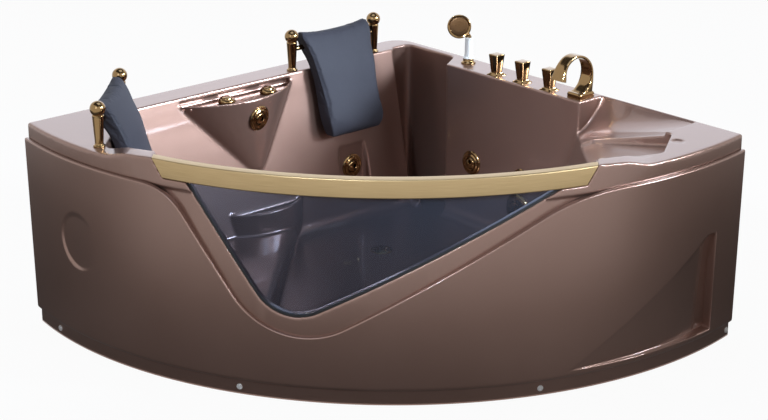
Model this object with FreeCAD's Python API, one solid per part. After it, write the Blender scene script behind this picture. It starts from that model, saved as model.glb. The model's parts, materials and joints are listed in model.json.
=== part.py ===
"""Two-person corner bath with jets and a bent glass window in its curved front.

Millimetres, +Z up. The origin is on the floor under the middle of the plan. The two room walls stand at
x = +WALL and y = +WALL, and the front is one arc about the axis through (ARC_C, ARC_C). Pieces that belong to
the front are drawn in a turned frame, u along the front to the right and v towards the back corner, and are
then turned by 45 degrees into place.
"""
import FreeCAD
import Part
import math
import os
from FreeCAD import Vector

# Plan
WALL = 760.0
APRON_R = 1280.0
ARC_C = APRON_R - WALL
ARC_V = ARC_C * math.sqrt(2)
CORNER_R = 70.0
END_ANGLE = math.pi / 4 + math.asin((WALL - ARC_C) / APRON_R)
END_S = APRON_R * END_ANGLE
END_U = APRON_R * math.sin(END_ANGLE)
FRONT_V = ARC_V - APRON_R
CORNER_V = WALL * math.sqrt(2)

# Heights
DECK_Z = 637.0
FLOOR_Z = 120.0
LIP_DROP = 52.0
APRON_TOP = DECK_Z - LIP_DROP + 6.0

# Shell
SHELL_T = 8.0
RIM_INSET = 12.0
RIM_R = APRON_R - RIM_INSET
RIM_EDGE = 4.0
BAND_INSET = 18.0
BAND_R = APRON_R - BAND_INSET
REVEAL = 49.0
INNER_R = BAND_R - REVEAL
BAND_LOW = 112.0
BASIN_FILLET = 46.0
LEAN = 100.0
BACK_DECK = 100.0
BACK_EDGE_Y = WALL - BACK_DECK
TAP_LEDGE = 115.0
TAP_FACE_X = WALL - TAP_LEDGE
LEFT_DECK = 286.0
LEFT_END_U = END_U - LEFT_DECK
RIGHT_DECK = 447.0
RIGHT_END_U = END_U - RIGHT_DECK
RIGHT_LEAN = 132.0

# Rim shoulders beside the rail
SHOULDER_CLEAR = 12.0
SHOULDER_RUN = 148.0
SHOULDER_RISE = 61.0
SHOULDER_FOOT_U = LEFT_END_U - SHOULDER_CLEAR
SHOULDER_MID_U = SHOULDER_FOOT_U - SHOULDER_RISE
SHOULDER_TOP_U = SHOULDER_FOOT_U - SHOULDER_RUN
SHOULDER_MID_Z = DECK_Z + 20.0
RAIL_DROP = 27.0
RAIL_H = 54.0
RAIL_Z0 = DECK_Z - RAIL_DROP
RAIL_Z1 = RAIL_Z0 + RAIL_H
RAIL_GAP = 2.0
RAIL_MITRE = 31.0
RAIL_W = 34.0
RAIL_R0 = APRON_R - 10.0 - RAIL_W
RAIL_R1 = APRON_R - 10.0
RAIL_EDGE = 3.0

# V cut of the apron and V of the window: low corner, and where each leg meets the top line
APRON_VEE = {"low": (-268.0, 119.0), "left": -SHOULDER_TOP_U + 38.0, "right": SHOULDER_TOP_U - 44.0,
    "top": APRON_TOP}
APRON_VEE_R = (140.0, 241.0, 450.0)
WINDOW_VEE = {"low": (-254.0, 213.0), "left": -SHOULDER_TOP_U + 99.0, "right": SHOULDER_TOP_U - 97.0,
    "top": RAIL_Z0}
WINDOW_VEE_R = 135.0
SEAL_W = 6.0
SEAL_INSET = 28.0
SEAL_T = 8.0
SEAL_R0 = APRON_R - SEAL_INSET
SEAL_R1 = SEAL_R0 + SEAL_T
GLASS_T = 8.0
GLASS_FIT = 0.5
GLASS_GRIP = 16.0
GROOVE_FIT = 0.3

# Apron
APRON_T = 8.0
APRON_TAPER = 10.0
APRON_EDGE = 3.0
RIM_FIT = 0.7
TOE_H = 46.0
TOE_INSET = 12.0
DISC_R = 87.0
DISC_FROM_END = 290.0
DISC_S = DISC_FROM_END - END_S
DISC_Z = 346.0
DISC_DEPTH = 3.5
SAIL_FROM_END = 128.0
SAIL_HALF = 278.0
SAIL_S = END_S - SAIL_FROM_END - SAIL_HALF
SAIL_Z0 = 64.0
SAIL_Z1 = 373.0
SAIL_SHIFT = 38.0
SCREW_S = (132.0 - END_S, -386.0, 490.0, END_S - 11.0)
SCREW_Z = 22.0
SCREW_R = 3.0
SCREW_FIT = 0.1
SCREW_L = 24.0
CAP_R = 9.0
CAP_H = 5.0

# Corner recess behind the end of the back rest, and the step of the tap ledge
RECESS_X0 = TAP_FACE_X - 5.0
RECESS_X1 = WALL - 32.0
RECESS_Y1 = WALL - 84.0
RECESS_L = 260.0
LEDGE_Y1 = BACK_EDGE_Y - RECESS_L
LEDGE_STEP = 55.0
RECESS_R = 28.0

# Scooped right end with its tray
LEDGE_L = 586.0
SCOOP_Y0 = LEDGE_Y1 - LEDGE_L
SCOOP_L = 374.0
SCOOP_Y1 = SCOOP_Y0 - SCOOP_L
SCOOP_X1 = WALL - 12.0
SCOOP_DEEP = DECK_Z - 113.0
SCOOP_SHALLOW = DECK_Z - 12.0
TRAY_Z0 = DECK_Z - 92.0
TRAY_Z1 = DECK_Z - 49.0
DIMPLE_R = 19.0
DIMPLE_DEPTH = 4.0

# Console on the back wall: shelf, lip and corbel
CONSOLE_X = -26.0
CONSOLE_HALF = 226.0
CONSOLE_REACH = 99.0
CONSOLE_Y = BACK_EDGE_Y - CONSOLE_REACH
CONSOLE_LIP_Z = DECK_Z - 25.0
CONSOLE_SHELF_Z = CONSOLE_LIP_Z - 14.0
CONSOLE_NICHE_Z = CONSOLE_LIP_Z + 10.0
CONSOLE_LIP_T = 9.0
CORBEL_TIP_Z = 368.0
CORBEL_TIP_X = CONSOLE_X + 40.0
CORBEL_TIP_HALF = 30.0
CORBEL_T = 12.0

# Pedestal under the console and raised seat at the left end
PEDESTAL_X = CONSOLE_X + 56.0
PEDESTAL_HALF = 152.0
PEDESTAL_REACH = 138.0
PEDESTAL_Y = BACK_EDGE_Y - PEDESTAL_REACH
PEDESTAL_H = 126.0
PEDESTAL_Z = FLOOR_Z + PEDESTAL_H
PEDESTAL_DISH = 14.0
SEAT_U = -300.0
SEAT_H = 52.0
SEAT_Z = FLOOR_Z + SEAT_H
SEAT_EDGE = 34.0

# Niche for the low jet in the back wall
NICHE_X = (WALL - 408.0, WALL - 290.0)
NICHE_Y = BACK_EDGE_Y - 50.0
NICHE_Z = (FLOOR_Z + 80.0, FLOOR_Z + 250.0)
NICHE_R = 12.0

# Jets: place on the wall and direction into the basin
JETS = (
    (Vector(CONSOLE_X + 26.0, CONSOLE_Y + 13.0, DECK_Z - 92.0), Vector(0.13, -0.98, -0.12)),
    (Vector(NICHE_X[0] + 62.0, NICHE_Y, NICHE_Z[0] + 88.0), Vector(0.0, -1.0, 0.0)),
    (Vector(TAP_FACE_X, LEDGE_Y1 - 121.0, FLOOR_Z + 208.0), Vector(-1.0, 0.0, 0.0)),
    (Vector(TAP_FACE_X, LEDGE_Y1 - 350.0, FLOOR_Z + 202.0), Vector(-1.0, 0.0, 0.0)),
)
JET_BEZEL_R = 41.0
JET_BEZEL_T = 6.0
JET_HOLE_R = 27.5
JET_BODY_R = 27.0
JET_BORE_R = 20.3
JET_BALL_R = 20.0
JET_DEPTH = 62.0
JET_NUT_R = 38.0
JET_NUT_T = 12.0
JET_STUB_R = 13.0
JET_MOUTH_R = 6.0
JET_CLEAR_R = 42.0

# Pressure pipe from the pump to the jets
MAIN_R = 20.0
MAIN_BORE = 17.0
MAIN_BEND = 45.0
MAIN_X = WALL - 76.0
MAIN_Z = JETS[2][0].z + 92.0
MAIN_LOW_Z = 46.0
MAIN_Y = WALL - 40.0
OUTLET_L = 16.0

# Pillows, their posts and rods
POST_BACK = 20.0
POST_SPAN = 350.0
POST_MID_X = TAP_FACE_X - 247.5
POST_MID_V = -22.0
POST_H = 112.0
POST_R = 13.0
POST_TOP_R = 16.5
POST_FOOT_R = 18.0
POST_FOOT_H = 9.0
BALL_R = 23.0
ROD_H = 70.0
ROD_R = 8.0
ROD_FIT = 0.1
PILLOW_DIP = 13.0
PILLOW_CLEAR = 15.5
PILLOW_HALF = POST_SPAN / 2 - POST_TOP_R - PILLOW_CLEAR
PILLOW_EDGE = 6.0
PILLOW_WAIST = 2.5

# Taps on the ledge
TAP_X = WALL - 84.0
TAP_YS = (LEDGE_Y1 - 197.0, LEDGE_Y1 - 312.0, LEDGE_Y1 - 430.0)
ESC_HALF = 23.5
ESC_TOP_HALF = 15.5
ESC_H = 8.0
HANDLE_LOW_HALF = 13.0
HANDLE_HALF = 19.0
HANDLE_H = 61.0
HANDLE_CROWN = 3.0
HANDLE_DISH = 0.09
HANDLE_GAP = 0.4
STEM_R = 8.0
STEM_FIT = 0.05
STEM_H = 30.0
VALVE_NECK_R = 12.0
VALVE_R = 17.0
VALVE_H = 96.0
TAIL_R = 10.48
TAIL_L = 50.0
TAIL_END_X = WALL - 10.0
TAIL_COLLAR_R = 15.0
SPOUT_Y = SCOOP_Y0 + 36.0
SPOUT_HALF = 24.0
SPOUT_X = WALL - 106.0
SPOUT_Z = DECK_Z + 75.0
SPOUT_R = 62.0
SPOUT_T = 9.0
SPOUT_LIP = 24.0
SPOUT_FROM = -70.0
SPOUT_TO = 165.0
SPOUT_BASE_X = (SPOUT_X + 2.0, SPOUT_X + SPOUT_R + 7.0)
SPOUT_BASE_H = 19.0
SPOUT_TAIL_L = 46.0
SPOUT_TAIL_X = WALL - 66.0

# Hand shower
SHOWER_X = WALL - 51.0
SHOWER_Y = LEDGE_Y1 - 34.0
HOLDER_R = 24.0
HOLDER_H = 16.0
GRIP_R = 13.0
GRIP_TOP_R = 10.5
GRIP_FIT = 0.3
GRIP_Z0 = DECK_Z - 37.0
GRIP_Z1 = DECK_Z + 85.0
HEAD_C = Vector(SHOWER_X - 22.0, SHOWER_Y + 22.0, GRIP_Z1 + 36.0)
HEAD_DIR = Vector(-0.70, -0.70, 0.12)
HEAD_R = 37.0
HEAD_T = 20.0
FACE_R = 31.0
FACE_T = 3.0

# Air switch and air regulator on the shelf
KNOB_Y = BACK_EDGE_Y - 28.0
SWITCH_X = CONSOLE_X - 56.0
REGULATOR_X = CONSOLE_X + 110.0
KNOB_RING_R = 27.0
KNOB_RING_H = 15.0
KNOB_R = 17.0
KNOB_FIT = 0.3
KNOB_RISE = 5.0
KNOB_TAIL_R = 12.0
KNOB_TAIL_L = 40.0
SWITCH_TRAVEL = 4.0

# Drain, waste and overflow
DRAIN_X = TAP_FACE_X - 390.0
DRAIN_Y = BACK_EDGE_Y - 375.0
DRAIN_R = 36.0
DRAIN_HOLE_R = 26.0
DRAIN_T = 3.0
PLUG_R = 22.0
PLUG_H = 6.0
PLUG_STEM_R = 5.0
TRAP_R = 40.0
TRAP_Z0 = 14.0
WASTE_R = 20.0
WASTE_PIPE_R = 23.0
SPIGOT_L = 60.0
WASTE_BORE = 18.0
WASTE_Z = 42.0
WASTE_END_Y = WALL - 8.0
OVERFLOW_V = -60.0
OVERFLOW_Z = DECK_Z - 157.0
OVERFLOW_R = 36.0
OVERFLOW_HOLE_R = 24.0
OVERFLOW_KNOB_R = 28.0
OVERFLOW_STEM_R = 6.0
OVERFLOW_L = 46.0
OVERFLOW_PIPE_R = 16.0

# Suction and pump
SUCTION_Y = LEDGE_Y1 - 338.0
SUCTION_Z = FLOOR_Z + 104.0
SUCTION_R = 52.0
SUCTION_HOLE_R = 32.0
SUCTION_PIPE_R = 24.0
SUCTION_BORE = 20.0
SUCTION_L = 35.0
SUCTION_BEND = 40.0
PUMP_X = WALL - 84.0
PUMP_Z = 200.0
PUMP_Y0 = SCOOP_Y0 - 134.0
VOLUTE_R = 74.0
VOLUTE_L = 60.0
MOTOR_R = 62.0
MOTOR_L = 190.0
MOTOR_BOSS_R = 26.0
SHAFT_R = 7.0
SHAFT_FIT = 0.05
IMPELLER_R = 52.0
IMPELLER_GAP = 4.0
BASE_T = 8.0

# Frame under the bath
TUBE = 40.0
TUBE_WALL = 2.0
TUBE_TOP = FLOOR_Z - SHELL_T
RAIL_A_V = FRONT_V + 245.0
RAIL_B_V = CORNER_V - 925.0
RAIL_C_V = CORNER_V - 515.0
RAIL_D_V = RAIL_B_V - 90.0
FOOT_PAD_R = 25.0
FOOT_PAD_H = 10.0
STUD_R = 6.0
NUT_R = 11.0
NUT_H = 10.0
UPRIGHT = 30.0
UPRIGHT_R = APRON_R - 138.0
UPRIGHTS = ((WALL - 70.0, WALL - 38.0), (CONSOLE_X - 304.0, WALL - 38.0), (WALL - 30.0, TAP_YS[0] - 58.0))
BRACKET_W = 30.0
BRACKET_T = 5.0

AXIS_Z = Vector(0, 0, 1)
ORIGIN = Vector(0, 0, 0)
TALL = 60.0


# Small makers used all through

def box(x0, x1, y0, y1, z0, z1):
    return Part.makeBox(x1 - x0, y1 - y0, z1 - z0, Vector(x0, y0, z0))


def post(r, z0, z1, x=0.0, y=0.0):
    return Part.makeCylinder(r, z1 - z0, Vector(x, y, z0))


def turned(shape):
    """A piece drawn along u and v, turned into place."""
    copy = shape.copy()
    copy.rotate(ORIGIN, AXIS_Z, -45)
    return copy


def diag(u, v, z=0.0):
    return Vector((u + v) / math.sqrt(2), (v - u) / math.sqrt(2), z)


def on_plan(z):
    return lambda x, y: Vector(x, y, z)


def on_front(v):
    return lambda u, z: Vector(u, v, z)


def rounded_wire(points, radii, place):
    """A closed outline with an arc of the given radius at each corner, 0 for a sharp one."""
    edges = []
    ends = []
    count = len(points)
    for i in range(count):
        here = Vector(points[i][0], points[i][1], 0)
        back = (Vector(points[i - 1][0], points[i - 1][1], 0) - here).normalize()
        on = points[(i + 1) % count]
        ahead = (Vector(on[0], on[1], 0) - here).normalize()
        if radii[i] == 0:
            ends.append((here, None, here))
            continue
        half = back.getAngle(ahead) / 2
        reach = radii[i] / math.tan(half)
        middle = (back + ahead).normalize()
        nearest = here + middle * (radii[i] / math.sin(half) - radii[i])
        ends.append((here + back * reach, nearest, here + ahead * reach))
    for i in range(count):
        first, nearest, last = ends[i]
        if nearest is not None:
            arc = Part.Arc(place(first.x, first.y), place(nearest.x, nearest.y), place(last.x, last.y))
            edges.append(arc.toShape())
        start = place(last.x, last.y)
        stop = place(ends[(i + 1) % count][0].x, ends[(i + 1) % count][0].y)
        if start.distanceToPoint(stop) > 1e-6:
            edges.append(Part.LineSegment(start, stop).toShape())
    return Part.Wire(edges)


def prism(points, radii, place, along):
    return Part.Face(rounded_wire(points, radii, place)).extrude(along)


def revolved(profile, centre=ORIGIN):
    """A closed (radius, height) outline turned about a vertical axis."""
    corners = [Vector(r, 0, z) for r, z in profile]
    solid = Part.Face(Part.makePolygon(corners + corners[:1])).revolve(ORIGIN, AXIS_Z, 360)
    solid.translate(centre)
    return solid


def aimed(shape, place, direction):
    """A piece drawn along +Z from the origin, set at a place and pointed along a direction."""
    copy = shape.copy()
    copy.Placement = FreeCAD.Placement(place, FreeCAD.Rotation(AXIS_Z, direction))
    return copy


def ring(r0, r1, z0, z1):
    """A full ring about the axis of the front arc."""
    return post(r1, z0, z1, ARC_C, ARC_C).cut(post(r0, z0, z1, ARC_C, ARC_C))


def bent_path(points, bend):
    """Straight runs through the points, joined by tangent arcs."""
    edges = []
    start = points[0]
    for i in range(1, len(points) - 1):
        here = points[i]
        back = (points[i - 1] - here).normalize()
        ahead = (points[i + 1] - here).normalize()
        half = back.getAngle(ahead) / 2
        reach = bend / math.tan(half)
        middle = (back + ahead).normalize()
        nearest = here + middle * (bend / math.sin(half) - bend)
        edges.append(Part.LineSegment(start, here + back * reach).toShape())
        edges.append(Part.Arc(here + back * reach, nearest, here + ahead * reach).toShape())
        start = here + ahead * reach
    edges.append(Part.LineSegment(start, points[-1]).toShape())
    return Part.Wire(edges)


def pipe(points, bend, r_out, r_in):
    """A bent pipe with its bore."""
    path = bent_path(points, bend)
    heading = points[1] - points[0]
    walls = []
    for r in (r_out, r_in):
        disc = Part.Face(Part.Wire([Part.makeCircle(r, points[0], heading)]))
        walls.append(path.makePipe(disc))
    return walls[0].cut(walls[1])


def edges_like(shape, test):
    return [e for e in shape.Edges if test(e.valueAt((e.FirstParameter + e.LastParameter) / 2), e)]


def front_point(s, r, z):
    """A point of the front at arc length s from the middle, radius r and height z."""
    angle = s / APRON_R
    return diag(r * math.sin(angle), ARC_V - r * math.cos(angle), z)


def front_heading(s):
    angle = s / APRON_R
    return diag(math.sin(angle), -math.cos(angle))


# Outlines of the shell

def vee(spec, radii, grow, top, low_r):
    """The V as a prism across the front, open upwards to the height top; grow moves its legs outwards."""
    low = Vector(spec["low"][0], spec["low"][1], 0)
    corners = [Vector(spec["left"], spec["top"], 0), Vector(spec["right"], spec["top"], 0)]
    lines = []
    for corner, side in zip(corners, (1, -1)):
        run = (corner - low).normalize()
        out = Vector(-run.y, run.x, 0) * side
        lines.append((low + out * grow, run))
    (p, d), (q, e) = lines
    t = ((q.x - p.x) * e.y - (q.y - p.y) * e.x) / (d.x * e.y - d.y * e.x)
    bottom = p + d * t
    left = bottom + d * ((top - bottom.y) / d.y)
    right = bottom + e * ((top - bottom.y) / e.y)
    if radii is None:
        outline = [(left.x, top), (bottom.x, bottom.y), (right.x, top)]
        rounds = [0, low_r + grow, 0]
    else:
        far = APRON_R
        outline = [(-far, top), (left.x, top), (bottom.x, bottom.y), (right.x, top), (far, top)]
        outline += [(far, top + TALL), (-far, top + TALL)]
        rounds = [0, radii[0], radii[1], radii[2], 0, 0, 0]
    deep = prism(outline, rounds, on_front(ARC_V - APRON_R - TALL), Vector(0, APRON_R / 3, 0))
    return turned(deep)


def window(grow, top):
    return vee(WINDOW_VEE, None, grow, top, WINDOW_VEE_R)


def plan_block(radius, inset, z0, z1):
    """The bath's plan as a block: the arc in front, two walls and a rounded back corner."""
    near = WALL - inset - 2 * APRON_R
    far = WALL - inset
    corner = box(near, far, near, far, z0, z1)
    middle = (z0 + z1) / 2
    upright = edges_like(corner, lambda m, e: m.x > far - 1 and m.y > far - 1 and abs(m.z - middle) < 1)
    corner = corner.makeFillet(CORNER_R - inset, upright)
    return post(radius, z0, z1, ARC_C, ARC_C).common(corner)


def basin(grow):
    """The bathing space: leaning sides over a flat floor, all its inner corners rounded."""
    diagonal = math.sqrt(0.5)
    front = INNER_R - ARC_V + 2 * TALL
    sides = (
        (1.0, 0.0, TAP_FACE_X, 0.0),
        (0.0, 1.0, BACK_EDGE_Y, LEAN),
        (-diagonal, diagonal, LEFT_END_U, LEAN),
        (-diagonal, -diagonal, front, 0.0),
        (diagonal, -diagonal, RIGHT_END_U, RIGHT_LEAN),
    )
    wires = []
    for z in (FLOOR_Z - grow, DECK_Z + TALL):
        share = (DECK_Z - z) / (DECK_Z - FLOOR_Z)
        reach = [d - lean * share + grow for _, _, d, lean in sides]
        corners = []
        for i in range(len(sides)):
            ax, ay = sides[i][:2]
            bx, by = sides[(i + 1) % len(sides)][:2]
            det = ax * by - ay * bx
            a, b = reach[i], reach[(i + 1) % len(sides)]
            corners.append(Vector((a * by - b * ay) / det, (ax * b - bx * a) / det, z))
        wires.append(Part.makePolygon(corners + corners[:1]))
    solid = Part.makeLoft(wires, True, True)
    solid = solid.common(post(INNER_R + grow, FLOOR_Z - TALL, DECK_Z + 2 * TALL, ARC_C, ARC_C))
    back_corner_x = TAP_FACE_X + grow - 1
    rounded = edges_like(
        solid,
        lambda m, e: m.z < DECK_Z + TALL - 1 and not (m.x > back_corner_x and m.z > FLOOR_Z + 1 and m.y > 0),
    )
    return solid.makeFillet(BASIN_FILLET + grow, rounded)


def recess(grow):
    """The upright corner behind the end of the back rest, as far as the tap ledge."""
    inside = TAP_FACE_X - 2 * BASIN_FILLET
    outline = [
        (RECESS_X0 - grow, RECESS_Y1 + grow),
        (RECESS_X1 + grow, RECESS_Y1 + grow),
        (RECESS_X1 + grow, LEDGE_Y1 + LEDGE_STEP - grow),
        (RECESS_X0 - grow, LEDGE_Y1 - grow),
        (inside, LEDGE_Y1 - grow),
        (inside, BACK_EDGE_Y - LEAN - BASIN_FILLET),
        (RECESS_X0 - grow, BACK_EDGE_Y - LEAN - BASIN_FILLET),
    ]
    rounds = [RECESS_R, RECESS_R + grow, RECESS_R + grow, 0, 0, 0, 0]
    return prism(outline, rounds, on_plan(FLOOR_Z - grow), Vector(0, 0, DECK_Z + TALL - FLOOR_Z + grow))


def scoop(grow):
    """The dished shoulder at the right end: deep beside the tap ledge, running out to the deck."""
    sections = []
    for y, deep, side in ((SCOOP_Y0 + grow, SCOOP_DEEP, WALL - 280.0),
        (SCOOP_Y1 - grow, SCOOP_SHALLOW, WALL - 460.0)):
        high = DECK_Z - RIM_EDGE - grow
        low = deep - grow
        bend = Vector(SCOOP_X1 + grow - 52.0, y, low + 0.36 * (high - low))
        lip = Vector(SCOOP_X1 + grow, y, high)
        foot = Vector(TAP_FACE_X - 70.0, y, low)
        inner = Vector(side, y, low - 8.0)
        roof = DECK_Z + TALL
        edges = [
            Part.Arc(lip, bend, foot).toShape(),
            Part.LineSegment(foot, inner).toShape(),
            Part.LineSegment(inner, Vector(side, y, roof)).toShape(),
            Part.LineSegment(Vector(side, y, roof), Vector(SCOOP_X1 + grow, y, roof)).toShape(),
            Part.LineSegment(Vector(SCOOP_X1 + grow, y, roof), lip).toShape(),
        ]
        sections.append(Part.Wire(edges))
    return Part.makeLoft(sections, True, True)


def tray(grow):
    """The soap tray in front of the scoop, with a floor that rises to the right end."""
    outline = [
        (WALL - 172.0, SCOOP_Y0 - 114.0), (WALL - 152.0, SCOOP_Y0 - 399.0), (WALL - 308.0, SCOOP_Y0 - 500.0),
        (WALL - 498.0, SCOOP_Y0 - 426.0), (WALL - 360.0, SCOOP_Y0 - 114.0),
    ]
    centre = (WALL - 300.0, SCOOP_Y0 - 314.0)
    grown = []
    for x, y in outline:
        away = Vector(x - centre[0], y - centre[1], 0).normalize() * grow * 1.3
        grown.append((x + away.x, y + away.y))
    floor = prism(
        [
            (SCOOP_Y0 - 114.0, TRAY_Z0 - grow), (SCOOP_Y0 - 514.0, TRAY_Z1 - grow + 30.0),
            (SCOOP_Y0 - 514.0, DECK_Z + TALL), (SCOOP_Y0 - 114.0, DECK_Z + TALL),
        ],
        [0, 0, 0, 0],
        lambda y, z: Vector(0, y, z),
        Vector(WALL, 0, 0),
    )
    block = prism(grown, [0, 22.0, 30.0, 0, 0], on_plan(TRAY_Z0 - TALL), Vector(0, 0, 3 * TALL))
    inside = post(INNER_R + grow, TRAY_Z0 - TALL, DECK_Z + 2 * TALL, ARC_C, ARC_C)
    return block.common(floor).common(inside)


def console_plan(inset, back, z, depth):
    """The bow-fronted plan of the console as a prism upwards from z."""
    wall_y = BACK_EDGE_Y - 3.0
    left = Vector(CONSOLE_X - CONSOLE_HALF + inset, wall_y, z)
    right = Vector(CONSOLE_X + CONSOLE_HALF - inset, wall_y, z)
    bow = Part.Arc(left, Vector(CONSOLE_X, CONSOLE_Y + inset, z), right).toShape()
    corners = [right, Vector(right.x, back, z), Vector(left.x, back, z), left]
    return Part.Face(Part.Wire([bow] + Part.makePolygon(corners).Edges)).extrude(Vector(0, 0, depth))


def corbel(inset):
    """The body of the console, tapering down to a tip on the leaning wall."""
    wires = []
    tip_y = BACK_EDGE_Y - LEAN * (DECK_Z - CORBEL_TIP_Z) / (DECK_Z - FLOOR_Z)
    levels = (
        (CONSOLE_LIP_Z, CONSOLE_X, CONSOLE_HALF - 2 * inset, BACK_EDGE_Y - 3.0, CONSOLE_Y + inset),
        (CORBEL_TIP_Z, CORBEL_TIP_X, CORBEL_TIP_HALF - 2 * inset, tip_y + 3.0 + inset, tip_y - 9.0 + inset),
    )
    for z, x, half, wall_y, bow_y in levels:
        left = Vector(x - half, wall_y, z)
        right = Vector(x + half, wall_y, z)
        bow = Part.Arc(left, Vector(x, bow_y, z), right).toShape()
        back = BACK_EDGE_Y + TALL
        corners = [right, Vector(right.x, back, z), Vector(left.x, back, z), left]
        wires.append(Part.Wire([bow] + Part.makePolygon(corners).Edges))
    return Part.makeLoft(wires, True, True)


def pedestal():
    """The half-round step under the console, with a dished top."""
    back = BACK_EDGE_Y + TALL
    shapes = []
    for inset, z0 in ((0.0, FLOOR_Z - SHELL_T), (12.0, PEDESTAL_Z - PEDESTAL_DISH)):
        left = Vector(PEDESTAL_X - PEDESTAL_HALF + inset, BACK_EDGE_Y - 74.0, z0)
        right = Vector(PEDESTAL_X + PEDESTAL_HALF - inset, BACK_EDGE_Y - 74.0, z0)
        bow = Part.Arc(left, Vector(PEDESTAL_X, PEDESTAL_Y + inset, z0), right).toShape()
        corners = [right, Vector(right.x, back, z0), Vector(left.x, back, z0), left]
        face = Part.Face(Part.Wire([bow] + Part.makePolygon(corners).Edges))
        shapes.append(face.extrude(Vector(0, 0, PEDESTAL_Z - z0 + (1.0 if inset else 0.0))))
    return shapes[0].cut(shapes[1])


def seat():
    """The raised seat at the left end, rounded along its front edge."""
    block = box(-APRON_R, SEAT_U, -APRON_R, APRON_R, FLOOR_Z - SHELL_T, SEAT_Z)
    nose = edges_like(block, lambda m, e: m.x > SEAT_U - 1 and m.z > SEAT_Z - 1)
    return turned(block.makeFillet(SEAT_EDGE, nose))


def rim_ring():
    """The front rim with its two rising shoulders and the seat of the rail between them."""
    low = RAIL_Z0 - 12.0
    end = SHOULDER_TOP_U + RAIL_GAP
    right = [
        (end - RAIL_MITRE, RAIL_Z0),
        (end, RAIL_Z1),
        (SHOULDER_MID_U, SHOULDER_MID_Z),
        (SHOULDER_FOOT_U, DECK_Z),
        (SHOULDER_FOOT_U + TALL, DECK_Z),
        (SHOULDER_FOOT_U + TALL, low),
    ]
    outline = right + [(-u, z) for u, z in reversed(right)]
    rounds = [0, 3.0, 90.0, 90.0, 0, 0]
    band = prism(outline, rounds + rounds[::-1], on_front(ARC_V - APRON_R), Vector(0, APRON_R, 0))
    return turned(band).common(ring(INNER_R, RIM_R, low, RAIL_Z1 + TALL))


def rail_room():
    """The notch between the shoulders that the rail drops into."""
    end = SHOULDER_TOP_U + RAIL_GAP
    outline = [(-end + RAIL_MITRE, RAIL_Z0), (end - RAIL_MITRE, RAIL_Z0), (end, RAIL_Z1), (-end, RAIL_Z1)]
    notch = turned(prism(outline, [0, 0, 0, 0], on_front(ARC_V - APRON_R - TALL), Vector(0, APRON_R, 0)))
    return notch.common(ring(INNER_R, APRON_R, RAIL_Z0, RAIL_Z1))


def front_wall():
    """The outer face behind the apron and the collar that leads from it to the window."""
    reach = prism(
        [
            (-LEFT_END_U + 13.0, BAND_LOW), (RIGHT_END_U - 200.0, BAND_LOW),
            (RIGHT_END_U + 88.0, SAIL_Z1 + 50.0),
            (RIGHT_END_U + 88.0, RAIL_Z0), (-LEFT_END_U + 13.0, RAIL_Z0),
        ],
        [0, 0, 0, 0, 0],
        on_front(ARC_V - APRON_R),
        Vector(0, APRON_R / 2, 0),
    )
    band = ring(BAND_R - SHELL_T, BAND_R, BAND_LOW, RAIL_Z0).common(turned(reach))
    collar = window(SHELL_T, RAIL_Z0).common(ring(INNER_R, BAND_R, BAND_LOW, RAIL_Z0))
    return band.fuse(collar)


def deck_tray():
    """The flat deck with its turned-down lip."""
    block = plan_block(RIM_R, 0.0, DECK_Z - LIP_DROP, DECK_Z)
    brim = edges_like(block, lambda m, e: m.z > DECK_Z - 0.1)
    block = block.makeChamfer(RIM_EDGE, brim)
    hollow = plan_block(RIM_R - SHELL_T, SHELL_T, DECK_Z - LIP_DROP, DECK_Z - SHELL_T)
    return block.cut(hollow)


def bath_shell():
    inside = basin(0.0)
    outside = basin(SHELL_T)
    niche = box(NICHE_X[0], NICHE_X[1], BACK_EDGE_Y - 2 * LEAN, NICHE_Y, NICHE_Z[0], NICHE_Z[1])
    niche = niche.makeFillet(NICHE_R, edges_like(niche, lambda m, e: m.y > NICHE_Y - 1))
    t = SHELL_T
    niche_skin = box(NICHE_X[0] - t, NICHE_X[1] + t, NICHE_Y - LEAN, NICHE_Y + t, NICHE_Z[0] - t,
        NICHE_Z[1] + t)
    shelf = console_plan(CONSOLE_LIP_T, RECESS_Y1, CONSOLE_SHELF_Z, CONSOLE_NICHE_Z - CONSOLE_SHELF_Z)
    shelf_skin = console_plan(0.0, RECESS_Y1 + t, CONSOLE_SHELF_Z - t,
        CONSOLE_NICHE_Z - CONSOLE_SHELF_Z + 2 * t)
    roof = box(-APRON_R, WALL, -APRON_R, WALL, DECK_Z, DECK_Z + 4 * TALL)
    skins = outside.fuse([recess(t), scoop(t), tray(t), niche_skin, shelf_skin]).cut(roof)
    shell = deck_tray().fuse([skins, rim_ring(), front_wall()]).cut(rail_room())
    spaces = inside.fuse([recess(0.0), scoop(0.0), tray(0.0), niche])
    spaces = spaces.cut(corbel(0.0).fuse(pedestal()).fuse(seat()))
    shell = shell.cut(spaces).cut(shelf).cut(window(0.0, RAIL_Z0 + 1.0))
    dimple = post(DIMPLE_R, DECK_Z - DIMPLE_DEPTH, DECK_Z + TALL, TAP_FACE_X - 81.0, SCOOP_Y1 - 84.0)
    return shell.cut([dimple] + shell_holes())


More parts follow.
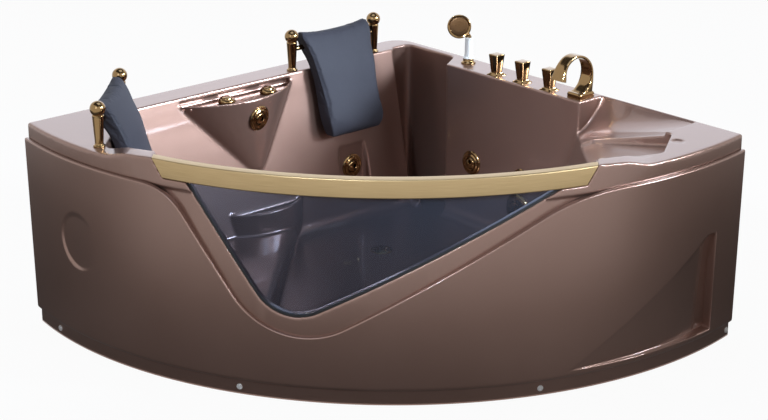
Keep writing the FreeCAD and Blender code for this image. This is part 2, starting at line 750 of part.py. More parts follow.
def shell_holes():
    """Everything that passes through the shell: jets, suction, overflow, drain, taps and knobs."""
    holes = []
    for place, heading in JETS:
        drill = post(JET_HOLE_R, -2 * TALL, TALL).fuse(post(JET_CLEAR_R, -SHELL_T - 2 * JET_NUT_T, -SHELL_T))
        drill = drill.fuse(post(JET_BEZEL_R + 2.0, 0.0, TALL))
        holes.append(aimed(drill, place, heading))
    holes.append(corbel(CORBEL_T).common(box(-WALL, WALL, 0.0, WALL, CORBEL_TIP_Z,
        CONSOLE_SHELF_Z - SHELL_T)))
    place, heading = overflow_seat()
    holes.append(aimed(post(OVERFLOW_HOLE_R, -TALL, TALL), place, heading))
    place, heading = suction_seat()
    holes.append(aimed(post(SUCTION_HOLE_R, -TALL, TALL), place, heading))
    holes.append(post(DRAIN_HOLE_R, 0.0, FLOOR_Z + TALL, DRAIN_X, DRAIN_Y))
    for y in TAP_YS:
        holes.append(post(VALVE_NECK_R, DECK_Z - TALL, DECK_Z + TALL, TAP_X, y))
    holes.append(post(VALVE_NECK_R, DECK_Z - TALL, DECK_Z + TALL, SPOUT_TAIL_X, SPOUT_Y))
    holes.append(post(GRIP_R + 2.0, DECK_Z - TALL, DECK_Z + TALL, SHOWER_X, SHOWER_Y))
    for x in (SWITCH_X, REGULATOR_X):
        holes.append(post(KNOB_TAIL_R, CONSOLE_SHELF_Z - TALL, CONSOLE_SHELF_Z + TALL, x, KNOB_Y))
    return holes


# Front: apron, glass, seal and rail

def apron_cone(inset):
    """The outer face of the apron as a solid cone, set in by inset."""
    low = APRON_R - APRON_TAPER - inset
    return Part.makeCone(low, APRON_R - inset, APRON_TOP - TOE_H, Vector(ARC_C, ARC_C, TOE_H))


def sail_cone(inset):
    """The floor of the sail recess: the apron's cone leaned sideways, so it sinks to the right and below."""
    side = front_heading(SAIL_S - SAIL_HALF + APRON_R * math.pi / 2)
    span = SAIL_Z1 - TOE_H
    base = Vector(ARC_C, ARC_C, TOE_H - span) - side * (2 * SAIL_SHIFT)
    lean = (Vector(ARC_C, ARC_C, SAIL_Z1) - base) * 1.5
    grade = APRON_TAPER / (APRON_TOP - TOE_H)
    low = APRON_R - APRON_TAPER - inset - grade * span
    return Part.makeCone(low, low + grade * lean.Length, lean.Length, base, lean)


def sail_prism(grow):
    """The outline of the sail recess, pushed through the apron along the radius at its middle."""
    heading = front_heading(SAIL_S)
    across = front_heading(SAIL_S + APRON_R * math.pi / 2)
    middle = front_point(SAIL_S, APRON_R - 3 * TALL, 0.0)
    outline = [
        (SAIL_HALF + grow, SAIL_Z0 - grow),
        (SAIL_HALF + grow, SAIL_Z1 + grow),
        (SAIL_HALF - 40.0, SAIL_Z1 + grow),
        (-SAIL_HALF - grow, SAIL_Z0 + 4.0),
        (-SAIL_HALF - grow, SAIL_Z0 - grow),
    ]
    rounds = [24.0, 22.0, 0, 0, 0]
    return prism(outline, rounds, lambda w, z: middle + across * w + Vector(0, 0, z), heading * (5 * TALL))


def on_apron_edge(m, edge):
    """True for the outer edge along the V and the top, not for the ends at the walls."""
    outer = APRON_R - APRON_TAPER * (APRON_TOP - m.z) / (APRON_TOP - TOE_H)
    radius = math.hypot(m.x - ARC_C, m.y - ARC_C)
    return m.z > 2 * TOE_H and abs(radius - outer) < 0.2 and max(m.x, m.y) < WALL - 1


def front_apron():
    t = APRON_T
    toe = APRON_R - APRON_TAPER
    foot = toe - TOE_INSET
    flange = RIM_R + RIM_FIT
    profile = [
        (foot - t, 0.0), (foot, 0.0), (foot, TOE_H), (toe, TOE_H), (APRON_R, APRON_TOP), (flange, APRON_TOP),
        (flange, APRON_TOP - 5.0), (APRON_R - t, APRON_TOP - 9.0), (toe - t, TOE_H + t),
        (foot - t, TOE_H + t),
    ]
    sheet = revolved(profile, Vector(ARC_C, ARC_C, 0))
    room = box(-APRON_R, WALL, -APRON_R, WALL, 0.0, APRON_TOP)
    sheet = sheet.common(room).cut(vee(APRON_VEE, APRON_VEE_R, 0.0, APRON_TOP, 0.0))
    sheet = sheet.makeChamfer(APRON_EDGE, edges_like(sheet, on_apron_edge))
    backing = sail_prism(t).common(apron_cone(t / 2)).cut(sail_cone(t))
    sheet = sheet.fuse(backing.common(room))
    sheet = sheet.cut(sail_prism(0.0).cut(sail_cone(0.0)))
    disc = aimed(post(DISC_R, -TALL, TALL), front_point(DISC_S, APRON_R, DISC_Z), front_heading(DISC_S))
    sheet = sheet.cut(disc.cut(apron_cone(DISC_DEPTH)))
    holes = [aimed(post(SCREW_R + SCREW_FIT, -TALL, TALL), front_point(s, foot, SCREW_Z), front_heading(s))
             for s in SCREW_S]
    return sheet.cut(holes)


def window_glass():
    return window(-GLASS_FIT, RAIL_Z0 + GLASS_GRIP).common(
        ring(SEAL_R0 - GLASS_T, SEAL_R0, BAND_LOW, RAIL_Z1))


def window_seal():
    strip = window(0.0, RAIL_Z0).cut(window(-SEAL_W, RAIL_Z0 + 1.0))
    return strip.common(ring(SEAL_R0, SEAL_R1, BAND_LOW, RAIL_Z1))


def top_rail():
    """The rail over the glass: a bevelled section with a groove below, swept along the front and mitred."""
    half = SHOULDER_TOP_U
    outline = [(-half + RAIL_MITRE, RAIL_Z0), (half - RAIL_MITRE, RAIL_Z0), (half, RAIL_Z1), (-half, RAIL_Z1)]
    band = turned(prism(outline, [0, 0, 0, 0], on_front(ARC_V - APRON_R), Vector(0, APRON_R / 2, 0)))
    groove_r0 = SEAL_R0 - GLASS_T - GROOVE_FIT
    groove_r1 = SEAL_R0 + GROOVE_FIT
    groove_z = RAIL_Z0 + GLASS_GRIP + 2.0
    e = RAIL_EDGE
    section = [
        (RAIL_R0, RAIL_Z0), (RAIL_R0, RAIL_Z1 - e), (RAIL_R0 + e, RAIL_Z1), (RAIL_R1 - e, RAIL_Z1),
        (RAIL_R1, RAIL_Z1 - e),
        (RAIL_R1, RAIL_Z0 + e), (RAIL_R1 - e, RAIL_Z0), (groove_r1, RAIL_Z0), (groove_r1, groove_z),
        (groove_r0, groove_z), (groove_r0, RAIL_Z0),
    ]
    return revolved(section, Vector(ARC_C, ARC_C, 0)).common(band)


def apron_screws():
    foot = APRON_R - APRON_TAPER - TOE_INSET
    return Part.makeCompound([
        aimed(post(SCREW_R, -SCREW_L, 0.0), front_point(s, foot, SCREW_Z),
            front_heading(s)) for s in SCREW_S])


def screw_caps():
    foot = APRON_R - APRON_TAPER - TOE_INSET
    dome = revolved([(0, 0), (CAP_R, 0), (CAP_R, 0.3 * CAP_H), (0.8 * CAP_R, 0.8 * CAP_H),
        (0.4 * CAP_R, CAP_H), (0, CAP_H)])
    return Part.makeCompound([aimed(dome, front_point(s, foot, SCREW_Z), front_heading(s)) for s in SCREW_S])


# Pillows

def pillow_seats():
    """Middle of each pillow's rod and the turn about Z that faces the pillow into the bath."""
    rod_z = DECK_Z + ROD_H
    left = diag(-LEFT_END_U - POST_BACK, POST_MID_V, rod_z)
    return {"left": (left, 45.0), "back": (Vector(POST_MID_X, BACK_EDGE_Y + POST_BACK, rod_z), 0.0)}


def seated(shape, side):
    place, turn = pillow_seats()[side]
    copy = shape.copy()
    copy.Placement = FreeCAD.Placement(place, FreeCAD.Rotation(AXIS_Z, turn))
    return copy


def pillow(side):
    """A head pad: level sections with a crowned face and drawn-in sides, hung on its rod."""
    levels = (
        (-290.0, -112.0, -76.0, 42.0, 3.0),
        (-278.0, -119.0, -73.0, 36.0, 5.0),
        (-150.0, -93.0, -44.0, 24.0, 8.0),
        (-70.0, -69.0, -28.0, 15.0, 8.0),
        (0.0, -38.0, 14.0, 6.0, 6.0),
        (36.0, -18.0, 22.0, 0.0, 4.0),
        (52.0, -4.0, 14.0, 3.0, 2.0),
    )
    wires = []
    e = PILLOW_EDGE
    for z, front, back, narrower, crown in levels:
        half = PILLOW_HALF - narrower
        middle = (front + back) / 2
        turn = e * (1 - math.sqrt(0.5))
        right = [
            Part.Arc(Vector(half - e, front, z), Vector(half - turn, front + turn, z),
                Vector(half, front + e, z)),
            Part.Arc(Vector(half, front + e, z), Vector(half - PILLOW_WAIST, middle, z),
                Vector(half, back - e, z)),
            Part.Arc(Vector(half, back - e, z), Vector(half - turn, back - turn, z),
                Vector(half - e, back, z)),
        ]
        left = [
            Part.Arc(Vector(e - half, back, z), Vector(turn - half, back - turn, z),
                Vector(-half, back - e, z)),
            Part.Arc(Vector(-half, back - e, z), Vector(PILLOW_WAIST - half, middle, z),
                Vector(-half, front + e, z)),
            Part.Arc(Vector(-half, front + e, z), Vector(turn - half, front + turn, z),
                Vector(e - half, front, z)),
        ]
        face = Part.Arc(Vector(e - half, front, z), Vector(0, front - crown, z), Vector(half - e, front, z))
        rear = Part.LineSegment(Vector(half - e, back, z), Vector(e - half, back, z))
        wires.append(Part.Wire([curve.toShape() for curve in [face] + right + [rear] + left]))
    pad = Part.makeLoft(wires, True, False)
    chord = PILLOW_HALF
    dip_r = (chord * chord + PILLOW_DIP * PILLOW_DIP) / (2 * PILLOW_DIP)
    dip = Part.makeCylinder(dip_r, 4 * TALL, Vector(0, -2 * TALL, levels[-1][0] - PILLOW_DIP + dip_r),
        Vector(0, 1, 0))
    bore = Part.makeCylinder(ROD_R + ROD_FIT, POST_SPAN, Vector(-POST_SPAN / 2, 0, 0), Vector(1, 0, 0))
    return seated(pad.cut(dip).cut(bore), side)


def rod():
    return Part.makeCylinder(ROD_R, POST_SPAN, Vector(-POST_SPAN / 2, 0, 0), Vector(1, 0, 0))


def pillow_rods():
    return Part.makeCompound([seated(rod(), side) for side in ("left", "back")])


def pillow_posts():
    """Ball-topped turned posts, each drilled for the rod's end."""
    posts = []
    for x in (-POST_SPAN / 2, POST_SPAN / 2):
        profile = [
            (0.0, 0.0), (POST_FOOT_R, 0.0), (POST_FOOT_R, POST_FOOT_H - 2.0),
            (POST_FOOT_R - 2.0, POST_FOOT_H),
            (POST_R, POST_FOOT_H), (POST_TOP_R, POST_H - 0.8 * BALL_R), (0.0, POST_H - 0.8 * BALL_R),
        ]
        turned_post = revolved(profile, Vector(x, 0, -ROD_H))
        ball = Part.makeSphere(BALL_R, Vector(x, 0, POST_H - ROD_H))
        posts.append(turned_post.fuse(ball).removeSplitter().cut(rod()))
    return Part.makeCompound([seated(p, side) for side in ("left", "back") for p in posts])


# Taps and hand shower

def square_loft(levels, x, y, dish):
    """A square body through (height, half width) levels, its sides hollowed by a share of the half width."""
    wires = []
    for z, half in levels:
        centre = Vector(x, y, z)
        corners = [centre + Vector(a * half, b * half, 0) for a, b in ((-1, -1), (1, -1), (1, 1), (-1, 1))]
        sides = []
        for here, ahead in zip(corners, corners[1:] + corners[:1]):
            middle = (here + ahead) / 2
            sides.append(Part.Arc(here, middle + (centre - middle) * dish, ahead).toShape())
        wires.append(Part.Wire(sides))
    return Part.makeLoft(wires, True, True)


def tap_handle(y):
    low = DECK_Z + ESC_H + HANDLE_GAP
    top = low + HANDLE_H
    levels = [(low, HANDLE_LOW_HALF), (top - HANDLE_CROWN, HANDLE_HALF), (top, HANDLE_HALF - HANDLE_CROWN)]
    bore = post(STEM_R + STEM_FIT, low, DECK_Z + ESC_H + STEM_H + 1.0, TAP_X, y)
    return square_loft(levels, TAP_X, y, HANDLE_DISH).cut(bore)


def tap_escutcheons():
    plates = []
    for y in TAP_YS:
        levels = [(DECK_Z, ESC_HALF), (DECK_Z + 0.35 * ESC_H, ESC_HALF - 2.0), (DECK_Z + ESC_H, ESC_TOP_HALF)]
        plate = square_loft(levels, TAP_X, y, HANDLE_DISH)
        plates.append(plate.cut(post(VALVE_NECK_R, DECK_Z, DECK_Z + ESC_H, TAP_X, y)))
    return Part.makeCompound(plates)


def tap_valves():
    """Valve bodies under the ledge, each with a neck through it, a stem for the handle and a tail."""
    under = DECK_Z - SHELL_T
    top = DECK_Z + ESC_H
    low = under - VALVE_H
    profile = [
        (0.0, low), (VALVE_R - 3.0, low), (VALVE_R, low + 3.0), (VALVE_R, under), (VALVE_NECK_R - 0.3, under),
        (VALVE_NECK_R - 0.3, top), (STEM_R, top), (STEM_R, top + STEM_H), (0.0, top + STEM_H),
    ]
    valves = []
    for y in TAP_YS:
        centre = Vector(TAP_X, y, low + TAIL_COLLAR_R + 4.0)
        collar = Part.makeCylinder(TAIL_COLLAR_R, TAIL_END_X - TAIL_L - TAP_X, centre, Vector(1, 0, 0))
        tail = Part.makeCylinder(TAIL_R, TAIL_END_X - TAP_X, centre, Vector(1, 0, 0))
        valves.append(revolved(profile, Vector(TAP_X, y, 0)).fuse([collar, tail]))
    return Part.makeCompound(valves)


def spout():
    """A flat ribbon bent almost full circle, upright outside, that thickens into its square base."""
    outer = SPOUT_R + SPOUT_T / 2
    inner = SPOUT_R - SPOUT_T / 2
    y = SPOUT_Y - SPOUT_HALF

    def at(radius, degrees, along=0.0):
        a = math.radians(degrees)
        x = SPOUT_X + radius * math.cos(a) - along * math.sin(a)
        return Vector(x, y, SPOUT_Z + radius * math.sin(a) + along * math.cos(a))

    foot = DECK_Z + SPOUT_BASE_H - 1.0 - SPOUT_Z
    outer_foot = at(outer, 0.0, foot)
    inner_foot = at(inner, SPOUT_FROM)
    inner_foot.z = outer_foot.z
    middle = (SPOUT_FROM + SPOUT_TO) / 2
    edges = [
        Part.LineSegment(outer_foot, at(outer, 0.0)).toShape(),
        Part.Arc(at(outer, 0.0), at(outer, SPOUT_TO / 2), at(outer, SPOUT_TO)).toShape(),
        Part.LineSegment(at(outer, SPOUT_TO), at(outer, SPOUT_TO, SPOUT_LIP)).toShape(),
        Part.LineSegment(at(outer, SPOUT_TO, SPOUT_LIP), at(inner, SPOUT_TO, SPOUT_LIP)).toShape(),
        Part.LineSegment(at(inner, SPOUT_TO, SPOUT_LIP), at(inner, SPOUT_TO)).toShape(),
        Part.Arc(at(inner, SPOUT_TO), at(inner, middle), at(inner, SPOUT_FROM)).toShape(),
        Part.LineSegment(at(inner, SPOUT_FROM), inner_foot).toShape(),
        Part.LineSegment(inner_foot, outer_foot).toShape(),
    ]
    ribbon = Part.Face(Part.Wire(edges)).extrude(Vector(0, 2 * SPOUT_HALF, 0))
    x0, x1 = SPOUT_BASE_X
    base = box(x0, x1, SPOUT_Y - SPOUT_HALF - 4.0, SPOUT_Y + SPOUT_HALF + 4.0, DECK_Z, DECK_Z + SPOUT_BASE_H)
    base = base.makeFillet(3.0, edges_like(base, lambda m, e: m.z > DECK_Z + 1))
    return ribbon.fuse(base).removeSplitter()


def spout_tail():
    under = DECK_Z - SHELL_T
    return revolved([
        (0.0, under - SPOUT_TAIL_L), (TAIL_R, under - SPOUT_TAIL_L), (TAIL_R, under - 14.0),
        (VALVE_R, under - 14.0),
        (VALVE_R, under), (VALVE_NECK_R - 0.3, under), (VALVE_NECK_R - 0.3, DECK_Z), (0.0, DECK_Z),
    ], Vector(SPOUT_TAIL_X, SPOUT_Y, 0))


def shower_holder():
    bore = GRIP_R + GRIP_FIT
    return revolved([
        (bore, DECK_Z), (HOLDER_R, DECK_Z), (HOLDER_R, DECK_Z + 4.0), (HOLDER_R - 6.0, DECK_Z + HOLDER_H),
        (bore, DECK_Z + HOLDER_H),
    ], Vector(SHOWER_X, SHOWER_Y, 0))


def shower_handle():
    waist = DECK_Z + HOLDER_H + 6.0
    return revolved([
        (0.0, GRIP_Z0), (GRIP_R - 3.0, GRIP_Z0), (GRIP_R, GRIP_Z0 + 12.0), (GRIP_R, waist),
        (GRIP_TOP_R, GRIP_Z1), (0.0, GRIP_Z1),
    ], Vector(SHOWER_X, SHOWER_Y, 0))


def shower_head():
    """A round dish on a short neck, open in front for the spray face."""
    dish = revolved([
        (0.0, -HEAD_T), (0.5 * HEAD_R, -HEAD_T), (0.86 * HEAD_R, -0.6 * HEAD_T), (HEAD_R, -3.0),
        (HEAD_R, 0.0),
        (HEAD_R - 2.0, 2.0), (FACE_R, 2.0), (FACE_R, -FACE_T), (0.0, -FACE_T),
    ])
    dish = aimed(dish, HEAD_C, HEAD_DIR)
    start = Vector(SHOWER_X, SHOWER_Y, GRIP_Z1)
    back = HEAD_C - Vector(HEAD_DIR).normalize() * (0.6 * HEAD_T)
    neck = Part.makeCone(GRIP_TOP_R, GRIP_TOP_R - 1.0, (back - start).Length, start, back - start)
    keep = box(-WALL, WALL, -WALL, WALL, GRIP_Z1, GRIP_Z1 + 4 * TALL)
    cup = aimed(post(FACE_R, -FACE_T, TALL), HEAD_C, HEAD_DIR)
    return dish.fuse(neck).common(keep).cut(cup)


def shower_face():
    return aimed(revolved([
        (0.0, -FACE_T), (FACE_R, -FACE_T), (FACE_R, 0.0), (0.6 * FACE_R, 2.0), (0.0, 2.6)]), HEAD_C, HEAD_DIR)


# Console fittings

def knob_bezel(x):
    """A ring on the shelf with a threaded tail through it."""
    z = CONSOLE_SHELF_Z
    return revolved([
        (KNOB_TAIL_R - 3.0, z - KNOB_TAIL_L), (KNOB_TAIL_R, z - KNOB_TAIL_L), (KNOB_TAIL_R, z),
        (KNOB_RING_R, z),
        (KNOB_RING_R, z + 0.6 * KNOB_RING_H), (KNOB_RING_R - 4.0, z + KNOB_RING_H),
        (KNOB_R + KNOB_FIT, z + KNOB_RING_H),
        (KNOB_R + KNOB_FIT, z + 2.0), (KNOB_TAIL_R - 3.0, z + 2.0),
    ], Vector(x, KNOB_Y, 0))


def air_switch_button():
    z0 = CONSOLE_SHELF_Z + 2.0 + SWITCH_TRAVEL + 0.4
    z1 = CONSOLE_SHELF_Z + KNOB_RING_H + KNOB_RISE
    return revolved([
        (0.0, z0), (KNOB_R, z0), (KNOB_R, z1 - 2.0), (KNOB_R - 3.0, z1), (0.0, z1)], Vector(SWITCH_X,
        KNOB_Y, 0))


def air_regulator_knob():
    z0 = CONSOLE_SHELF_Z + 2.4
    z1 = CONSOLE_SHELF_Z + KNOB_RING_H + KNOB_RISE
    knob = revolved([
        (0.0, z0), (KNOB_R, z0), (KNOB_R, z1 - 2.0), (KNOB_R - 2.0, z1), (0.0, z1)], Vector(REGULATOR_X,
        KNOB_Y, 0))
    pointer = box(REGULATOR_X - 3.0, REGULATOR_X + 3.0, KNOB_Y - KNOB_R + 3.0, KNOB_Y + 2.0, z1 - 0.5,
        z1 + 3.0)
    return knob.fuse(pointer)


# Jets and their pipe

def jet_bezels():
    flange = revolved([
        (JET_BORE_R, 0.0), (JET_BEZEL_R, 0.0), (JET_BEZEL_R, 2.5), (JET_BEZEL_R - 4.0, JET_BEZEL_T),
        (JET_BORE_R + 5.0, JET_BEZEL_T + 1.5), (JET_BORE_R, JET_BEZEL_T),
    ])
    return Part.makeCompound([aimed(flange, place, heading) for place, heading in JETS])


def jet_nuts():
    nut = revolved([
        (JET_BODY_R, -SHELL_T - JET_NUT_T), (JET_NUT_R, -SHELL_T - JET_NUT_T), (JET_NUT_R, -SHELL_T),
        (JET_BODY_R, -SHELL_T)])
    return Part.makeCompound([aimed(nut, place, heading) for place, heading in JETS])


def jet_bodies():
    """Cups behind the wall: the tap ledge's two feed from above, the back wall's two from behind."""
    cup = revolved([
        (0.0, -JET_DEPTH), (JET_BODY_R, -JET_DEPTH), (JET_BODY_R, 0.0), (JET_BORE_R, 0.0),
        (JET_BORE_R, -40.0), (0.0, -40.0)])
    bodies = []
    for place, heading in JETS:
        body = aimed(cup, place, heading)
        back = Vector(heading).normalize() * -1
        if heading.x < -0.5:
            stub = post(JET_STUB_R, place.z + JET_BODY_R - 4.0, MAIN_Z - MAIN_R - 0.3, MAIN_X, place.y)
        else:
            reach = (MAIN_Y - place.y) / back.y - MAIN_R - 0.6 - JET_STUB_R * math.hypot(back.x, back.z)
            stub = aimed(post(JET_STUB_R, JET_DEPTH - 4.0, reach), place, back)
        bodies.append(body.fuse(stub).removeSplitter())
    return Part.makeCompound(bodies)


def jet_nozzle(index):
    """A swivelling nozzle whose mouth sits off its own axis."""
    place, heading = JETS[index]
    ball = revolved([
        (0.0, -30.0), (14.0, -30.0), (JET_BALL_R, -18.0), (JET_BALL_R, 4.0), (JET_BALL_R - 4.0, 9.0),
        (0.0, 11.0)])
    mouth = Part.makeCone(JET_MOUTH_R - 2.0, JET_MOUTH_R + 2.0, 52.0, Vector(0, 0, -36.0), Vector(0.12, 0, 1))
    return aimed(ball.cut(mouth), place, heading)


def pressure_manifold():
    start = Vector(MAIN_X, PUMP_Y0 - VOLUTE_L / 2, PUMP_Z + VOLUTE_R + OUTLET_L)
    place, heading = JETS[0]
    end_x = place.x + heading.x / heading.y * (MAIN_Y - place.y)
    rise_x = JETS[1][0].x + 56.0
    return pipe([
        start,
        Vector(MAIN_X, start.y, MAIN_Z),
        Vector(MAIN_X, LEDGE_Y1 - 50.0, MAIN_Z),
        Vector(MAIN_X, LEDGE_Y1 - 50.0, MAIN_LOW_Z),
        Vector(rise_x + 90.0, MAIN_Y, MAIN_LOW_Z),
        Vector(rise_x, MAIN_Y, MAIN_LOW_Z),
        Vector(rise_x, MAIN_Y, JETS[1][0].z),
        Vector(end_x, MAIN_Y, JETS[1][0].z),
        Vector(end_x, MAIN_Y, CONSOLE_SHELF_Z),
    ], MAIN_BEND, MAIN_R, MAIN_BORE)


# Drain, overflow and suction

def overflow_seat():
    lean = RIGHT_LEAN / (DECK_Z - FLOOR_Z)
    u = RIGHT_END_U - lean * (DECK_Z - OVERFLOW_Z)
    return diag(u, OVERFLOW_V, OVERFLOW_Z), diag(-1.0, 0.0, lean).normalize()


def suction_seat():
    return Vector(TAP_FACE_X, SUCTION_Y, SUCTION_Z), Vector(-1, 0, 0)


def drain_flange():
    bore = DRAIN_HOLE_R - 3.0
    sleeve = revolved([
        (bore, FLOOR_Z - 30.0), (DRAIN_HOLE_R - 0.5, FLOOR_Z - 30.0), (DRAIN_HOLE_R - 0.5, FLOOR_Z),
        (DRAIN_R, FLOOR_Z),
        (DRAIN_R - 2.0, FLOOR_Z + DRAIN_T), (bore, FLOOR_Z + DRAIN_T),
    ], Vector(DRAIN_X, DRAIN_Y, 0))
    bar = box(DRAIN_X - bore - 1.0, DRAIN_X + bore + 1.0, DRAIN_Y - 8.0, DRAIN_Y + 8.0, FLOOR_Z - 26.0,
        FLOOR_Z - 20.0)
    return sleeve.fuse(bar).cut(post(PLUG_STEM_R + 0.1, 0.0, FLOOR_Z, DRAIN_X, DRAIN_Y))


def drain_plug():
    z0 = FLOOR_Z - 1.0
    return revolved([
        (0.0, z0 - 40.0), (PLUG_STEM_R, z0 - 40.0), (PLUG_STEM_R, z0), (PLUG_R, z0),
        (PLUG_R, z0 + PLUG_H - 2.0),
        (PLUG_R - 4.0, z0 + PLUG_H), (0.0, z0 + PLUG_H + 1.0),
    ], Vector(DRAIN_X, DRAIN_Y, 0))


def waste_trap():
    under = FLOOR_Z - SHELL_T
    sleeve = DRAIN_HOLE_R - 0.5
    cup = revolved([
        (0.0, TRAP_Z0), (TRAP_R, TRAP_Z0), (TRAP_R, under), (sleeve, under), (sleeve, under - 6.0),
        (TRAP_R - 4.0, under - 6.0),
        (TRAP_R - 4.0, TRAP_Z0 + 4.0), (0.0, TRAP_Z0 + 4.0),
    ], Vector(DRAIN_X, DRAIN_Y, 0))
    outlet = Part.makeCylinder(WASTE_PIPE_R, TALL, Vector(DRAIN_X, DRAIN_Y + 10.0, WASTE_Z), Vector(0, 1, 0))
    end, heading = overflow_end()
    inlet = Part.makeCylinder(OVERFLOW_PIPE_R, TALL, end - heading * 10.0, heading)
    return cup.cut([outlet, inlet])


def waste_outlet():
    """The pipe from the trap to the wall, with a turned-down spigot at its end."""
    start = Vector(DRAIN_X, DRAIN_Y + TRAP_R - 3.0, WASTE_Z)
    length = WASTE_END_Y - start.y
    tube = Part.makeCylinder(WASTE_PIPE_R, length - SPIGOT_L, start, Vector(0, 1, 0))
    spigot = Part.makeCylinder(WASTE_R, length, start, Vector(0, 1, 0))
    return tube.fuse(spigot).cut(Part.makeCylinder(WASTE_BORE, length, start, Vector(0, 1, 0)))


def overflow_end():
    """Where the overflow pipe enters the trap, and the way it runs in."""
    corner = overflow_corner()
    trap = Vector(DRAIN_X, DRAIN_Y, corner.z)
    heading = (trap - corner).normalize()
    return trap - heading * (TRAP_R - 3.0), heading


def overflow_corner():
    place, heading = overflow_seat()
    out = place - heading * (OVERFLOW_L + TALL)
    return Vector(out.x, out.y, MAIN_LOW_Z)


def overflow_plate():
    place, heading = overflow_seat()
    stem = OVERFLOW_STEM_R + 0.1
    body = revolved([
        (stem, 0.0), (stem, 5.0), (OVERFLOW_R - 4.0, 5.0), (OVERFLOW_R, 2.0), (OVERFLOW_R, 0.0),
        (OVERFLOW_HOLE_R - 0.5, 0.0),
        (OVERFLOW_HOLE_R - 0.5, -OVERFLOW_L), (OVERFLOW_PIPE_R - 2.0, -OVERFLOW_L),
        (OVERFLOW_PIPE_R - 2.0, 0.0),
    ])
    slots = [aimed_slot(a) for a in range(0, 360, 60)]
    return aimed(body.cut(slots), place, heading)


def aimed_slot(degrees):
    """One water slot of the overflow plate."""
    slot = box(9.0, 13.0, -4.0, 4.0, -2.0, 8.0)
    slot.rotate(ORIGIN, AXIS_Z, degrees)
    return slot


def overflow_knob():
    place, heading = overflow_seat()
    knob = revolved([
        (0.0, -14.0), (OVERFLOW_STEM_R, -14.0), (OVERFLOW_STEM_R, 10.0), (OVERFLOW_KNOB_R, 10.0),
        (OVERFLOW_KNOB_R, 18.0),
        (OVERFLOW_KNOB_R - 3.0, 21.0), (0.0, 22.0),
    ])
    grip = box(-OVERFLOW_KNOB_R + 4.0, OVERFLOW_KNOB_R - 4.0, -4.0, 4.0, 20.0, 28.0)
    return aimed(knob.fuse(grip), place, heading)


def overflow_pipe():
    place, heading = overflow_seat()
    start = place - heading * OVERFLOW_L
    corner = overflow_corner()
    end, _ = overflow_end()
    elbow = place - heading * (OVERFLOW_L + TALL)
    return pipe([start, elbow, corner, end], MAIN_BEND, OVERFLOW_PIPE_R, OVERFLOW_PIPE_R - 2.0)


def suction_cover():
    """A domed grille over the suction."""
    dome = revolved([
        (0.0, 0.0), (SUCTION_R, 0.0), (SUCTION_R, 3.0), (SUCTION_R - 8.0, 9.0), (0.0, 12.0)])
    slots = []
    for ring_r, count in ((14.0, 6), (28.0, 12)):
        for i in range(count):
            a = 2 * math.pi * i / count
            slots.append(post(4.0, -2.0, 14.0, ring_r * math.cos(a), ring_r * math.sin(a)))
    place, heading = suction_seat()
    return aimed(dome.cut(slots), place, heading)


def suction_body():
    place, heading = suction_seat()
    sleeve = revolved([
        (SUCTION_BORE, -SUCTION_L), (SUCTION_HOLE_R - 0.5, -SUCTION_L),
        (SUCTION_HOLE_R - 0.5, -SHELL_T - JET_NUT_T),
        (SUCTION_R - 6.0, -SHELL_T - JET_NUT_T), (SUCTION_R - 6.0, -SHELL_T),
        (SUCTION_HOLE_R - 0.5, -SHELL_T),
        (SUCTION_HOLE_R - 0.5, 0.0), (SUCTION_BORE, 0.0),
    ])
    return aimed(sleeve, place, heading)


def suction_pipe():
    x0 = TAP_FACE_X + SUCTION_L
    return pipe([
        Vector(x0, SUCTION_Y, SUCTION_Z),
        Vector(x0 + 46.0, SUCTION_Y, SUCTION_Z),
        Vector(x0 + 46.0, PUMP_Y0 + 130.0, SUCTION_Z),
        Vector(PUMP_X, PUMP_Y0 + 80.0, PUMP_Z),
        Vector(PUMP_X, PUMP_Y0, PUMP_Z),
    ], SUCTION_BEND, SUCTION_PIPE_R, SUCTION_BORE)


# Pump, drawn along its axis from the suction side

def on_pump(shape):
    return aimed(shape, Vector(PUMP_X, PUMP_Y0, PUMP_Z), Vector(0, -1, 0))


def pump_volute():
    wall = 6.0
    case = revolved([
        (SUCTION_BORE, 0.0), (SUCTION_PIPE_R + 6.0, 0.0), (SUCTION_PIPE_R + 6.0, 8.0), (VOLUTE_R, 14.0),
        (VOLUTE_R, VOLUTE_L),
        (MOTOR_BOSS_R, VOLUTE_L), (MOTOR_BOSS_R, VOLUTE_L - wall), (VOLUTE_R - wall, VOLUTE_L - wall),
        (VOLUTE_R - wall, 16.0),
        (SUCTION_PIPE_R, 12.0), (SUCTION_BORE, 12.0),
    ])
    case = on_pump(case)
    top = PUMP_Z + VOLUTE_R + OUTLET_L
    y = PUMP_Y0 - VOLUTE_L / 2
    neck = post(MAIN_R, PUMP_Z + VOLUTE_R - 12.0, top, MAIN_X, y)
    return case.fuse(neck).cut(post(MAIN_BORE, PUMP_Z + 0.5 * VOLUTE_R, top, MAIN_X, y))


def pump_motor():
    """Finned motor body with the bearing boss that closes the volute."""
    start = VOLUTE_L
    end = start + MOTOR_L
    bore = SHAFT_R + SHAFT_FIT
    outline = [
        (bore, start - 6.0), (MOTOR_BOSS_R, start - 6.0), (MOTOR_BOSS_R, start), (MOTOR_R, start),
        (MOTOR_R, start + 14.0)]
    z = start + 14.0
    while z + 14.0 < end - 30.0:
        outline += [(MOTOR_R - 6.0, z), (MOTOR_R - 6.0, z + 8.0), (MOTOR_R, z + 8.0), (MOTOR_R, z + 14.0)]
        z += 14.0
    outline += [(MOTOR_R, end - 12.0), (MOTOR_R - 12.0, end), (bore, end)]
    return on_pump(revolved(outline))


def pump_shaft():
    return on_pump(post(SHAFT_R, VOLUTE_L - 30.0, VOLUTE_L + MOTOR_L - 10.0))


